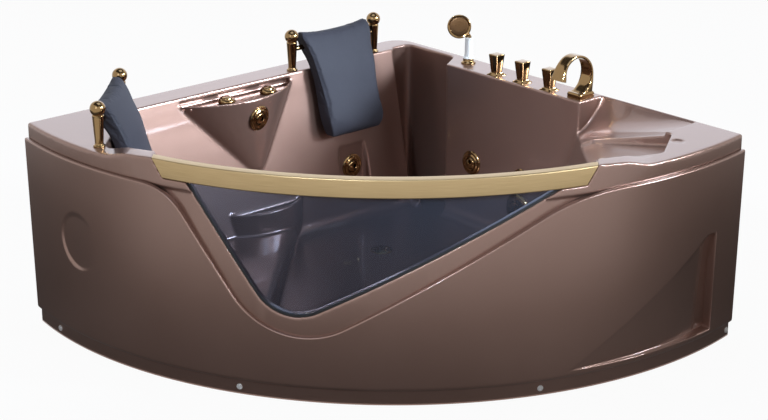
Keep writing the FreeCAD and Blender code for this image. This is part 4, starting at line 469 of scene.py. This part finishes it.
def makeCards():
    # cards that only gloss sees, each glowing by the painted reflection in its points, and the flag that only
    # shadows see
    k = studio
    grey = bpy.data.materials.new("paintedReflectionCard")
    grey.use_nodes = True
    tree = grey.node_tree
    tree.nodes.clear()
    paintedReflection = addNode(tree, "ShaderNodeAttribute", attribute_name="paintedReflection")
    glow = addNode(tree, "ShaderNodeEmission", {"Color": (1, 1, 1, 1), "Strength": paintedReflection.outputs["Fac"]})
    addNode(tree, "ShaderNodeOutputMaterial", {"Surface": glow.outputs[0]})

    turn = np.linspace(-k["cardTurn"], k["cardTurn"], k["cardColumns"])
    past = smooth(np.abs(turn), *k["cardKnee"])
    middle, ends = k["cardReach"]
    reach = middle + (ends - middle) * past
    under, high = k["cardUnder"], k["cardHigh"]
    ring = [frontPoint(turn, frontR - under + share * (reach + under), high) for share in k["cardRows"]]
    # painted reflection: dark rows near the toe paint shade low on the apron, the glow falls at each end as
    # painted shade, and about one turn it gains a painted highlight
    gain, at, spread = k["cardPaintedHighlight"]
    dim = 1 - (1 - np.where(turn < 0, *k["cardEndPaintedShade"])) * past
    dim = dim * (1 + gain * np.exp(-((turn - at) / spread) ** 2))
    ringPale = np.minimum(np.outer(k["cardPaintedReflection"], dim), 1.0)
    # the roof card glows dimly, a painted dark reflection on what faces up
    wide, high = k["roofHalf"], k["roofHigh"]
    roof = np.array([(-wide, -wide, high), (wide, -wide, high), (wide, wide, high), (-wide, wide, high)])
    start, end, top = k["flag"]
    flag = np.array([(*start, 0.0), (*end, 0.0), (*end, top), (*start, top)])
    one = np.array([[0, 1, 2, 3]])
    cards = (
        # name, points, faces, painted reflection
        ("floorReflectionCard", np.stack(ring), gridFaces(len(ring), len(turn)), ringPale),
        ("roofReflectionCard", roof, one, np.full(4, k["roofPaintedReflection"])),
        ("keyFlag", flag, one, np.zeros(4)),
    )
    for name, points, faces, pale in cards:
        mesh = bpy.data.meshes.new(name)
        mesh.from_pydata(points.reshape(-1, 3).tolist(), [], faces.tolist())
        mesh.materials.append(grey)
        layer = mesh.attributes.new("paintedReflection", "FLOAT", "POINT")
        layer.data.foreach_set("value", pale.ravel())
        card = bpy.data.objects.new(name, mesh)
        bpy.context.scene.collection.objects.link(card)
        card.visible_camera = card.visible_diffuse = card.visible_transmission = False
        card.visible_glossy, card.visible_shadow = name != "keyFlag", name == "keyFlag"


def makeLamps():
    for name, place, aim, width, height, watts in studio["lamps"]:
        data = bpy.data.lights.new(name, "AREA")
        data.shape = "RECTANGLE"
        data.size, data.size_y, data.energy = width, height, watts
        data.color = linear(studio["boxColour"])[:3]
        aimAt(name, data, place, aim)
    for name, place, aim, radius, beam, blend, watts in studio["spots"]:
        data = bpy.data.lights.new(name, "SPOT")
        data.energy, data.shadow_soft_size = watts, radius
        data.color = linear(studio["spotColour"])[:3]
        data.spot_size, data.spot_blend = np.radians(beam), blend
        aimAt(name, data, place, aim)


makeCamera()
makeWorld()
makeFloor()
makeCards()
makeLamps()
print("camera and studio set")

# Shell: the solid's own form, its pressed edges softened as a formed sheet's are
shell = dict(
    voxelMm=3.4, rounds=5, pull=0.5, keepTriangles=185000,
    # the scooped end beside the spout has broad soft edges, so it takes more rounds; its bounds in metres
    softRounds=30, scoopNear=(0.19, 0.25), scoopFar=(0.42, 0.50), scoopInner=(0.58, 0.63),
    scoopOuter=(0.725, 0.745), scoopLow=(0.45, 0.50))


def softShell():
    k = shell
    dense = remeshed("bath_shell", k["voxelMm"])
    points = np.empty(len(dense.vertices) * 3)
    dense.vertices.foreach_get("co", points)
    points = points.reshape(-1, 3)
    ends = np.empty(len(dense.edges) * 2, np.int64)
    dense.edges.foreach_get("vertices", ends)
    one, other = ends.reshape(-1, 2).T
    count = np.bincount(ends, minlength=len(points))[:, None]
    x, y, z = points.T
    soft = smooth(-y, *k["scoopNear"]) * smooth(x, *k["scoopInner"]) * (1 - smooth(x, *k["scoopOuter"]))
    soft = soft * smooth(z, *k["scoopLow"]) * (1 - smooth(-y, *k["scoopFar"]))
    for step in range(k["rounds"] + k["softRounds"]):
        # each point moves part of the way to the mean of its neighbours
        pull = k["pull"] * (1 if step < k["rounds"] else soft[:, None])
        total = np.stack([np.bincount(one, points[other, i], len(points))
                          + np.bincount(other, points[one, i], len(points)) for i in range(3)], -1)
        points = points + pull * (total / np.maximum(count, 1) - points)
    dense.vertices.foreach_set("co", points.ravel())
    dense.update()
    work = bpy.data.objects.new("shellDense", dense)
    bpy.context.scene.collection.objects.link(work)
    thin = work.modifiers.new("thin", "DECIMATE")
    thin.ratio = min(1.0, k["keepTriangles"] / (2 * len(dense.polygons)))
    light = bpy.data.meshes.new_from_object(work.evaluated_get(bpy.context.evaluated_depsgraph_get()))
    bpy.data.objects.remove(work)
    light.name = "bath_shell_form"
    light.shade_smooth()
    print("shell remeshed:", len(dense.polygons), "faces, kept", len(light.polygons))
    addPiece("bath_shell_form", light, "tub", ["bath_shell"], "coffee_acrylic")


softShell()
print("shell done")

# Apron: one formed sheet with a V cut, a dished disc on the left and a leaning sail panel on the right
apron = dict(
    top=591.0, toe=46.0, toeIn=12.0, taper=10.0, sheet=8.0, roll=5.0,
    # the cut's line across the front, and the radii of its corners
    vee=((-1400.0, 591.0), (-575.0, 591.0), (-268.0, 119.0), (569.0, 591.0), (1400.0, 591.0)),
    veeR=(140.0, 241.0, 450.0),
    # the turned-in edge: how far in it ends at the rim and at the band along the cut
    lipR=1268.7, bandR=1262.3, lipFade=(8.0, 30.0), lipDrop=4.0,
    # disc: place along the arc, height and radius, then its step and the shares of the radius it fades over
    disc=(-957.0, 346.0, 87.0), discDepth=5.0, discEdge=(-9.0, 1.0), discFade=(-0.9, 0.5),
    # sail: its corners, the lean of its panel, then a tilt and a groove to the right (depth, from, to)
    sailLeft=563.0, sailRight=1119.0, sailLow=66.0, sailHigh=373.0, sailTip=1079.0,
    sailDepth=15.0, sailLean=230.0, sailEase=0.8, sailBevel=12.0, sailWall=7.0, sailFoot=(-2.0, 4.0),
    sailTilt=(6.0, 930.0, 1090.0), sailGroove=(14.0, 1043.0, 1088.0),
    # toe: rows at the floor, then rows of height about its top and share of its set-back
    footRows=(0.0, 3.0), toeStep=((-6.0, 1.0), (-3.0, 0.93), (0.0, 0.62), (3.0, 0.2), (7.0, 0.04), (12.0, 0.0)),
    # back of the sheet: its start below the edge, its toe and the hollow behind the sail
    backDrop=12.0, backToe=(-2.0, 10.0), hollow=(20.0, 520.0, 560.0, 1128.0, 1150.0),
    hollowTall=(35.0, 55.0, 385.0, 420.0),
    # columns crowd where the pressed forms have their steep sides, rows crowd towards the toe
    columns=560, rows=118, edgeRows=8, backRows=22, rowEase=0.35,
    crowdRight=(3.2, 0.80, 0.82, 0.90, 0.92), crowdLeft=(0.8, 0.68, 0.70, 0.85, 0.87))


def apronDent(s, z):
    # depth of the two pressed forms over arc length s and height z
    a = apron
    cs, cz, discR = metres(a["disc"])
    away = np.hypot(s - cs, z - cz)
    fade = smooth(-(s - cs), *(np.array(a["discFade"]) * discR))
    dent = metres(a["discDepth"]) * (1 - smooth(away, *(discR + metres(a["discEdge"])))) * fade
    left, right, low = metres([a["sailLeft"], a["sailRight"], a["sailLow"]])
    high, tip = metres([a["sailHigh"], a["sailTip"]])
    slope = (high - low) / (tip - left)
    below = (low + slope * (s - left) - z) / np.hypot(1, slope)
    below = np.minimum(below, high - z)
    lean = np.clip(below / metres(a["sailLean"]), 0, 1)
    tilt, tiltFrom, tiltTo = metres(a["sailTilt"])
    panel = metres(a["sailDepth"]) * lean ** a["sailEase"] + tilt * smooth(s, tiltFrom, tiltTo)
    deep, deepFrom, deepTo = metres(a["sailGroove"])
    groove = deep * smooth(s, deepFrom, deepTo)
    inside = smooth(below, 0.0, metres(a["sailBevel"])) * (1 - smooth(s, right - metres(a["sailWall"]), right))
    inside = inside * smooth(z, *(low + metres(a["sailFoot"])))
    return dent + (panel + groove) * inside


def makeApron():
    a = apron
    top, toe, toeIn = metres([a["top"], a["toe"], a["toeIn"]])
    taper, sheet, roll = metres([a["taper"], a["sheet"], a["roll"]])
    # columns at even steps of the running sum of how much they crowd
    t = np.linspace(-1, 1, 2001)
    crowd = 1 + band(t, *a["crowdRight"]) + band(-t, *a["crowdLeft"])
    crowd = np.cumsum(crowd) - crowd[0]
    t = np.interp(np.linspace(0, crowd[-1], a["columns"]), crowd, t)
    angle = t * frontEnd(frontR)
    s = angle * frontR
    edge = roundedLine(metres(a["vee"]), metres(a["veeR"]), 60)
    zTop = np.interp(frontR * np.sin(angle), edge[:, 0], edge[:, 1])
    cosine = 1 / np.hypot(1, np.gradient(zTop, s))

    def face(z):
        # radius of the outer face, which draws in evenly from its top to its toe
        return frontR - taper * np.clip((top - z) / (top - toe), 0, 1)

    # outer face from the floor: toe, its rounded step, the panel, then the rolled edge
    stepZ, stepBack = np.array(a["toeStep"]).T
    toeRows = np.concatenate([metres(a["footRows"]), toe + metres(stepZ)])
    toeBack = toeIn * np.concatenate([np.ones(len(a["footRows"])), stepBack])
    share = np.linspace(0, 1, a["rows"])[1:, None]
    share = a["rowEase"] * share + (1 - a["rowEase"]) * share ** 2
    panelZ = toeRows[-1] + share * (zTop - roll / cosine - toeRows[-1])
    z = np.concatenate([toeRows[:, None] + 0 * s, panelZ])
    setIn = np.concatenate([toeBack[:, None] + 0 * s, 0 * panelZ])
    r = face(z) - setIn - apronDent(s, z)
    bend = np.linspace(0, np.pi / 2, a["edgeRows"])[1:, None]
    z = np.concatenate([z, zTop - roll * (1 - np.sin(bend)) / cosine])
    r = np.concatenate([r, face(zTop) - roll * (1 - np.cos(bend)) + 0 * s])

    # the edge turns in to the band or the rim, and the back of the sheet goes down again
    free = smooth(top - zTop, *metres(a["lipFade"]))
    inR = metres(a["lipR"]) + (metres(a["bandR"]) - metres(a["lipR"])) * free
    under = zTop - metres(a["lipDrop"]) / cosine
    share = np.linspace(1, 0, a["backRows"])[:, None]
    backZ = share * (zTop - metres(a["backDrop"]) / cosine)
    deep = band(backZ, band(s, *metres(a["hollow"])), *metres(a["hollowTall"]))
    backR = face(backZ) - sheet - deep - toeIn * (1 - smooth(backZ, *(toe + metres(a["backToe"]))))
    z = np.concatenate([z, [zTop, under], backZ])
    r = np.concatenate([r, [inR, inR], backR])

    rows, cols = z.shape
    points = frontPoint(t * frontEnd(r), r, z)
    faces = gridFaces(rows, cols, closeRows=True).tolist() + columnCaps(rows, cols)
    newPiece("front_apron_form", [(points, faces)], "tub", ["front_apron"], "coffee_acrylic", sharp=50)
    print("apron made:", rows, "by", cols)


makeApron()

# Rail: brushed section with rounded edges and a groove for the glass, its ends mitred
rail = dict(
    low=610.0, high=664.0, inner=1236.0, outer=1270.0, edge=4.0, glassIn=1243.7, glassOut=1252.3,
    grooveTop=628.0, halfTop=612.87, mitre=31.0, columns=180)


def makeRail():
    k = rail
    section = [
        (k["glassIn"], k["low"]), (k["inner"], k["low"]), (k["inner"], k["high"]), (k["outer"], k["high"]),
        (k["outer"], k["low"]), (k["glassOut"], k["low"]), (k["glassOut"], k["grooveTop"]),
        (k["glassIn"], k["grooveTop"])]
    r, z = metres(roundedLine(section, (k["edge"],) * 4 + (0, 0), 7)).T
    low, high = metres([k["low"], k["high"]])
    reach = metres(k["halfTop"]) - metres(k["mitre"]) * (high - z) / (high - low)
    t = np.linspace(-1, 1, k["columns"])
    angle = np.arcsin(reach / r)[:, None] * t
    points = frontPoint(angle, r[:, None], z[:, None] + 0 * angle)
    # the grain runs along the length, so the texture goes by length along and way around the section
    around = np.concatenate([[0], np.cumsum(np.hypot(np.diff(r), np.diff(z)))])
    uv = np.stack([angle * frontR, around[:, None] + 0 * angle], -1)
    rows, cols = angle.shape
    faces = gridFaces(rows, cols, closeRows=True).tolist() + columnCaps(rows, cols)
    newPiece("top_rail_form", [(points, faces)], "tub", ["top_rail"], "brushed_gold", uv=uv)


makeRail()
print("rail made")

# Posts: turned brass with a foot ring, a stem that widens upwards and a ball
post = dict(
    stem=((0.0, 0.0), (17.5, 0.0), (17.5, 5.0), (13.6, 6.5), (12.4, 11.0), (17.0, 89.0), (17.6, 92.0),
          (15.2, 94.8)),
    stemR=(0.6, 2.0, 1.0, 2.5, 30.0, 1.6), ballAt=112.0, ball=23.0, neck=15.2, half=175.0, rod=8.0)


def makePosts():
    p = post
    turn = np.linspace(-np.arccos(p["neck"] / p["ball"]), np.pi / 2, 22)[1:]
    ball = np.stack([p["ball"] * np.cos(turn), p["ballAt"] + p["ball"] * np.sin(turn)], -1)
    ball[-1, 0] = 0
    form = lathe(metres(np.concatenate([roundedLine(p["stem"], p["stemR"], 5), ball])), 48)
    bar = lathe(metres([(0, -p["half"]), (p["rod"], -p["half"]), (p["rod"], p["half"]), (0, p["half"])]), 32)
    posts, rods = [], []
    for name in ("left_pad_hinge", "back_pad_hinge"):
        middle, along = np.array(hinge[name]["pos_m"]), np.array(hinge[name]["axis"])
        rods.append(placed(bar, middle, along))
        for side in (-1, 1):
            foot = middle + side * metres(p["half"]) * along
            posts.append(placed(form, (foot[0], foot[1], deckZ)))
    newPiece("pillow_posts_form", posts, "tub", ["pillow_posts"], "polished_gold", sharp=50)
    newPiece("pillow_rods_form", rods, "tub", ["pillow_rods"], "polished_gold")


makePosts()
print("posts made")

# Pillows: moulded foam pads hung on their rods, swollen by a short cloth run from a slightly smaller copy
pillow = dict(
    voxelMm=3.5, shrinkMm=1.5, pressure=4.0, quality=6, mass=0.3, stiffness=40.0, frames=16, capMm=3.5,
    boreMm=8.5, fill=0.9, turns=dict(left=np.pi / 4, back=0.0))


def pillowForm():
    # the solid, remeshed and drawn in a little, then blown out again with each point's way capped
    k = pillow
    dense = remeshed("pillow_back", k["voxelMm"])
    count = len(dense.vertices)
    start, out = np.empty(count * 3), np.empty(count * 3)
    dense.vertices.foreach_get("co", start)
    dense.vertices.foreach_get("normal", out)
    start = start.reshape(-1, 3) - out.reshape(-1, 3) * k["shrinkMm"] / 1000
    dense.vertices.foreach_set("co", start.ravel())
    dense.update()
    points = start
    scene = bpy.context.scene
    pad = bpy.data.objects.new("pillowPad", dense)
    scene.collection.objects.link(pad)
    cloth = pad.modifiers.new("swell", "CLOTH")
    cloth.settings.use_pressure = True
    cloth.settings.uniform_pressure_force = k["pressure"]
    cloth.settings.quality = k["quality"]
    cloth.settings.mass = k["mass"]
    cloth.settings.tension_stiffness = cloth.settings.compression_stiffness = k["stiffness"]
    cloth.settings.effector_weights.gravity = 0
    for number in range(1, k["frames"] + 1):
        scene.frame_set(number)
    blown = pad.evaluated_get(bpy.context.evaluated_depsgraph_get()).data
    points = np.empty(count * 3)
    blown.vertices.foreach_get("co", points)
    move = points.reshape(-1, 3) - start
    far = np.linalg.norm(move, axis=1, keepdims=True)
    move = move * np.minimum(1, k["capMm"] / 1000 / np.maximum(far, 1e-9))
    points = start + move
    bpy.data.objects.remove(pad)
    scene.frame_set(1)
    print("pillow swollen: mean way", round(float(far.mean() * 1000), 2), "mm")
    # the bore stays clear of the rod: points nearer to its axis than the bore move out to it
    middle = np.array(hinge["back_pad_hinge"]["pos_m"])
    off = points - middle
    radial = np.stack([0 * off[:, 0], off[:, 1], off[:, 2]], -1)
    near = np.linalg.norm(radial, axis=1, keepdims=True)
    push = np.maximum(k["boreMm"] / 1000 / np.maximum(near, 1e-6), 1)
    points = points + radial * (push - 1)
    corners = np.empty(len(dense.loops), np.int64)
    dense.loops.foreach_get("vertex_index", corners)
    sizes = np.empty(len(dense.polygons), np.int64)
    dense.polygons.foreach_get("loop_total", sizes)
    faces = [list(part) for part in np.split(corners, np.cumsum(sizes)[:-1])]
    return points - middle, faces


def makePillows():
    points, faces = pillowForm()
    for side, turn in pillow["turns"].items():
        middle = np.array(hinge[side + "_pad_hinge"]["pos_m"])
        c, s = np.cos(turn), np.sin(turn)
        spun = points @ np.array([[c, s, 0], [-s, c, 0], [0, 0, 1]]) + middle
        name = "pillow_" + side
        piece = newPiece(name + "_pad", [(spun, faces)], side + "_pad", [name], "pillow_cover", sharp=180)
        finer = piece.modifiers.new("finer", "SUBSURF")
        finer.levels = finer.render_levels = 1


makePillows()
print("pillows made")

# Taps: square flared handles over square plates
taps = dict(
    plate=8.0, gap=0.4, dish=0.09, handlePower=11.0, skirtPower=14.0,
    handle=((0.0, 0.0), (13.0, 0.0), (19.2, 57.4), (18.4, 60.2), (0.0, 61.0)), handleR=(0.8, 0.8, 2.0),
    skirt=((23.5, 0.0), (23.5, 1.6), (20.8, 3.0), (16.4, 5.6), (15.5, 8.0), (12.2, 8.0), (12.2, 0.0)),
    skirtR=(0.6, 3.0, 8.0, 0.5, 0), sharp=38)


def makeTaps():
    k = taps
    low = deckZ + metres(k["plate"] + k["gap"])
    form = squareRows(metres(roundedLine(k["handle"], k["handleR"], 9)), k["handlePower"], dish=k["dish"])
    outline = metres(roundedLine(k["skirt"], k["skirtR"], 6))
    points, faces = squareRows(outline, k["skirtPower"], dish=k["dish"])
    faces = np.concatenate([faces, bridge(*points.shape[:2])])
    plates = []
    for name in ("hot", "diverter", "cold"):
        joint = hinge["diverter_turn" if name == "diverter" else name + "_tap_turn"]
        x, y = joint["pos_m"][:2]
        node = name + "_handle"
        handle = placed(form, (x, y, low))
        newPiece(node + "_form", [handle], joint["child"], [node], "polished_gold", sharp=k["sharp"])
        plates.append(placed((points, faces), (x, y, deckZ)))
    newPiece("tap_escutcheons_form", plates, "tub", ["tap_escutcheons"], "polished_gold", sharp=k["sharp"])


makeTaps()

# Spout: a bent ribbon that opens to a hollow mouth, on a square base
spout = dict(
    x=654.0, z=712.0, radius=62.0, foot=655.0, last=165.0, lip=22.0, thick=8.6, mouth=19.0, power=6.0,
    # half widths at the foot, along the ring and at the mouth, with the shares of the run they change over
    footHalf=25.0, half=20.5, flare=26.0, narrows=(0.0, 0.6), opens=(0.70, 1.0),
    # hollow of the mouth: its depth, and what half width and thickness lose at its edge and at its end
    hollow=22.0, hollowHalf=(1.6, 6.0), hollowThick=(3.2, 8.0),
    base=(656.0, 723.0), baseHalf=28.0, baseTop=19.0, basePower=14.0,
    block=((0.0, 0.0), (1.0, 0.0), (1.0, 0.74), (0.9, 1.0), (0.0, 1.0)), blockR=(0.6, 5.0, 2.0), sharp=38)


def makeSpout():
    k = spout
    low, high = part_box("spout")
    y = (low[1] + high[1]) / 2
    turn = np.radians(np.linspace(0, k["last"], 56))
    arc = np.stack([k["x"] + k["radius"] * np.cos(turn), k["z"] + k["radius"] * np.sin(turn)], -1)
    ahead = np.stack([-np.sin(turn), np.cos(turn)], -1)
    # outside the foot is upright, inside it follows the ring, so it thickens into the base
    rise = np.linspace(k["foot"], k["z"], 16)[:-1, None]
    outer = k["x"] + k["radius"] + k["thick"] / 2
    inner = k["x"] + np.sqrt((k["radius"] - k["thick"] / 2) ** 2 - (k["z"] - rise) ** 2)
    upright = np.concatenate([(outer + inner) / 2, rise], -1)
    lipRun = np.linspace(0, k["lip"], 14)[1:, None]
    path = np.concatenate([upright, arc, arc[-1] + ahead[-1] * lipRun])
    heading = np.concatenate([0 * upright + ahead[:1], ahead, ahead[-1] + 0 * lipRun])
    # width and thickness grow over the last stretch, and the mouth turns back inside as a hollow
    run = np.linspace(0, 1, len(path))
    opening = smooth(run, *k["opens"])
    half = k["footHalf"] + (k["half"] - k["footHalf"]) * smooth(run, *k["narrows"])
    half = half + (k["flare"] - k["half"]) * opening
    thick = k["thick"] + (k["mouth"] - k["thick"]) * opening
    thick[:len(rise)] = (outer - inner).ravel()
    path = np.concatenate([path, path[-1:], path[-1:] - heading[-1:] * k["hollow"]])
    heading = np.concatenate([heading, heading[-2:]])
    half = np.concatenate([half, half[-1] - np.array(k["hollowHalf"])])
    thick = np.concatenate([thick, thick[-1] - np.array(k["hollowThick"])])
    # each section is a superellipse, its thickness square to the way the ribbon heads
    ring = np.linspace(0, 2 * np.pi, 40, endpoint=False)
    power = k["power"]
    reach = (np.abs(np.cos(ring)) ** power + np.abs(np.sin(ring)) ** power) ** (-1 / power)
    side, proud = reach * np.cos(ring), reach * np.sin(ring)
    out = np.stack([heading[:, 1], -heading[:, 0]], -1)
    x = path[:, :1] + out[:, :1] * np.outer(thick / 2, proud)
    z = path[:, 1:] + out[:, 1:] * np.outer(thick / 2, proud)
    across = y * 1000 + np.outer(half, side)
    points = metres(np.stack([x, across, z], -1))
    rows, cols = across.shape
    ribbon = points, gridFaces(rows, cols, closeCols=True).tolist() + rowCaps(rows, cols)
    x0, x1 = k["base"]
    sides = ((x1 - x0) / 2 / k["baseHalf"], 1.0)
    profile = roundedLine(np.array(k["block"]) * (k["baseHalf"], k["baseTop"]), k["blockR"], 6)
    block = squareRows(metres(profile), k["basePower"], sides=sides)
    base = placed(block, (metres((x0 + x1) / 2), y, deckZ))
    newPiece("spout_form", [ribbon, base], "tub", ["spout"], "polished_gold", sharp=k["sharp"])


makeSpout()
print("taps and spout made")

# Hand shower: gold holder, pale grip, plated head and its spray plate
shower = dict(
    holder=((13.3, 0.0), (24.0, 0.0), (24.0, 4.0), (18.0, 8.0), (17.0, 16.0), (13.3, 16.0)),
    holderR=(1.0, 1.5, 4.0, 0.8),
    grip=((0.0, 600.0), (10.0, 600.0), (13.0, 612.0), (13.0, 653.6), (19.5, 654.0), (13.2, 663.0),
          (11.6, 716.0), (12.2, 722.0), (0.0, 722.0)),
    gripR=(1.0, 4.0, 0.2, 1.0, 8.0, 20.0, 0.8),
    dish=((0.0, -20.0), (18.0, -20.0), (33.0, -12.0), (39.0, -3.0), (39.0, 0.5), (36.0, 2.6), (31.0, 1.0),
          (31.0, -3.0), (0.0, -3.0)),
    dishR=(4.0, 8.0, 3.0, 1.2, 1.0, 0.4, 0.4),
    plate=((0.0, -3.0), (30.9, -3.0), (30.9, 0.2), (27.0, 1.2), (18.0, 2.2), (0.0, 2.6)),
    plateR=(0.2, 0.8, 6.0, 20.0), aim=(-0.70, -0.70, 0.12), proud=0.2,
    # neck: start in the grip, bend behind and above it, end in the back of the dish, radii, level direction
    neckSink=2.0, bendBack=10.0, bendRise=8.0, endBack=12.0, endOff=22.0, neckR=(10.5, 8.0),
    neckRows=14, neckColumns=32, level=(0.7071, -0.7071, 0.0))


def makeShower():
    k = shower
    low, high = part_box("shower_handle")
    x, y = (low[0] + high[0]) / 2, (low[1] + high[1]) / 2
    points, faces = lathe(metres(roundedLine(k["holder"], k["holderR"], 6)), 48)
    holder = placed((points, np.concatenate([faces, bridge(*points.shape[:2])])), (x, y, deckZ))
    newPiece("shower_holder_form", [holder], "tub", ["shower_holder"], "polished_gold")
    grip = lathe(metres(roundedLine(k["grip"], k["gripR"], 7)), 48)
    newPiece("shower_handle_form", [placed(grip, (x, y, 0.0))], "hand_shower", ["shower_handle"], "pale_grip")
    aim = np.array(k["aim"]) / np.linalg.norm(k["aim"])
    faceLow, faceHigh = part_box("shower_face")
    middle = (np.array(faceLow) + np.array(faceHigh)) / 2 + aim * metres(k["proud"])
    dish = placed(lathe(metres(roundedLine(k["dish"], k["dishR"], 6)), 64), middle, aim)
    # a neck bent as a three-point curve from the top of the grip into the back of the dish, low on its side
    start = np.array((x, y, high[2] - metres(k["neckSink"])))
    bend = start - aim * metres(k["bendBack"]) + np.array((0, 0, metres(k["bendRise"])))
    toGrip = start - middle - aim * (aim @ (start - middle))
    end = middle - aim * metres(k["endBack"]) + toGrip / np.linalg.norm(toGrip) * metres(k["endOff"])
    rows, cols = k["neckRows"], k["neckColumns"]
    t = np.linspace(0, 1, rows)[:, None]
    path = (1 - t) ** 2 * start + 2 * t * (1 - t) * bend + t * t * end
    heading = np.gradient(path, axis=0)
    heading = heading / np.linalg.norm(heading, axis=1, keepdims=True)
    across = np.cross(heading, k["level"])
    across = across / np.linalg.norm(across, axis=1, keepdims=True)
    third = np.cross(heading, across)
    ring = np.linspace(0, 2 * np.pi, cols, endpoint=False)[:, None]
    radius = np.linspace(*metres(k["neckR"]), rows)[:, None, None]
    tube = path[:, None] + radius * (np.cos(ring) * across[:, None] + np.sin(ring) * third[:, None])
    neck = tube, gridFaces(rows, cols, closeCols=True).tolist() + rowCaps(rows, cols)
    newPiece("shower_head_form", [dish, neck], "hand_shower", ["shower_head"], "polished_gold", sharp=45)
    plate = placed(lathe(metres(roundedLine(k["plate"], k["plateR"], 6)), 64), middle, aim)
    newPiece("shower_face_form", [plate], "hand_shower", ["shower_face"], "spray_face")


makeShower()
print("hand shower made")

# Jets: one stepped flange round each nozzle
jet = dict(
    flange=((20.3, 0.0), (41.0, 0.0), (41.0, 2.2), (37.0, 5.4), (31.0, 4.2), (26.0, 7.6), (20.3, 6.0)),
    flangeR=(0.8, 1.5, 2.5, 3.0, 2.0), count=4)


def makeJets():
    points, faces = lathe(metres(roundedLine(jet["flange"], jet["flangeR"], 6)), 64)
    form = points, np.concatenate([faces, bridge(*points.shape[:2])])
    turns = [hinge["nozzle_%d_turn" % (n + 1)] for n in range(jet["count"])]
    flanges = [placed(form, turn["pos_m"], turn["axis"]) for turn in turns]
    newPiece("jet_bezels_form", flanges, "tub", ["jet_bezels"], "polished_gold")


makeJets()
print("jets made")

slotOf = {row["node"]: row["material_slot"] for row in frame["record"]["subparts"]}
for node in sorted(frame["nodes"]):
    if node not in dressed:
        dress(node, slotOf[node])
print("other solids dressed")
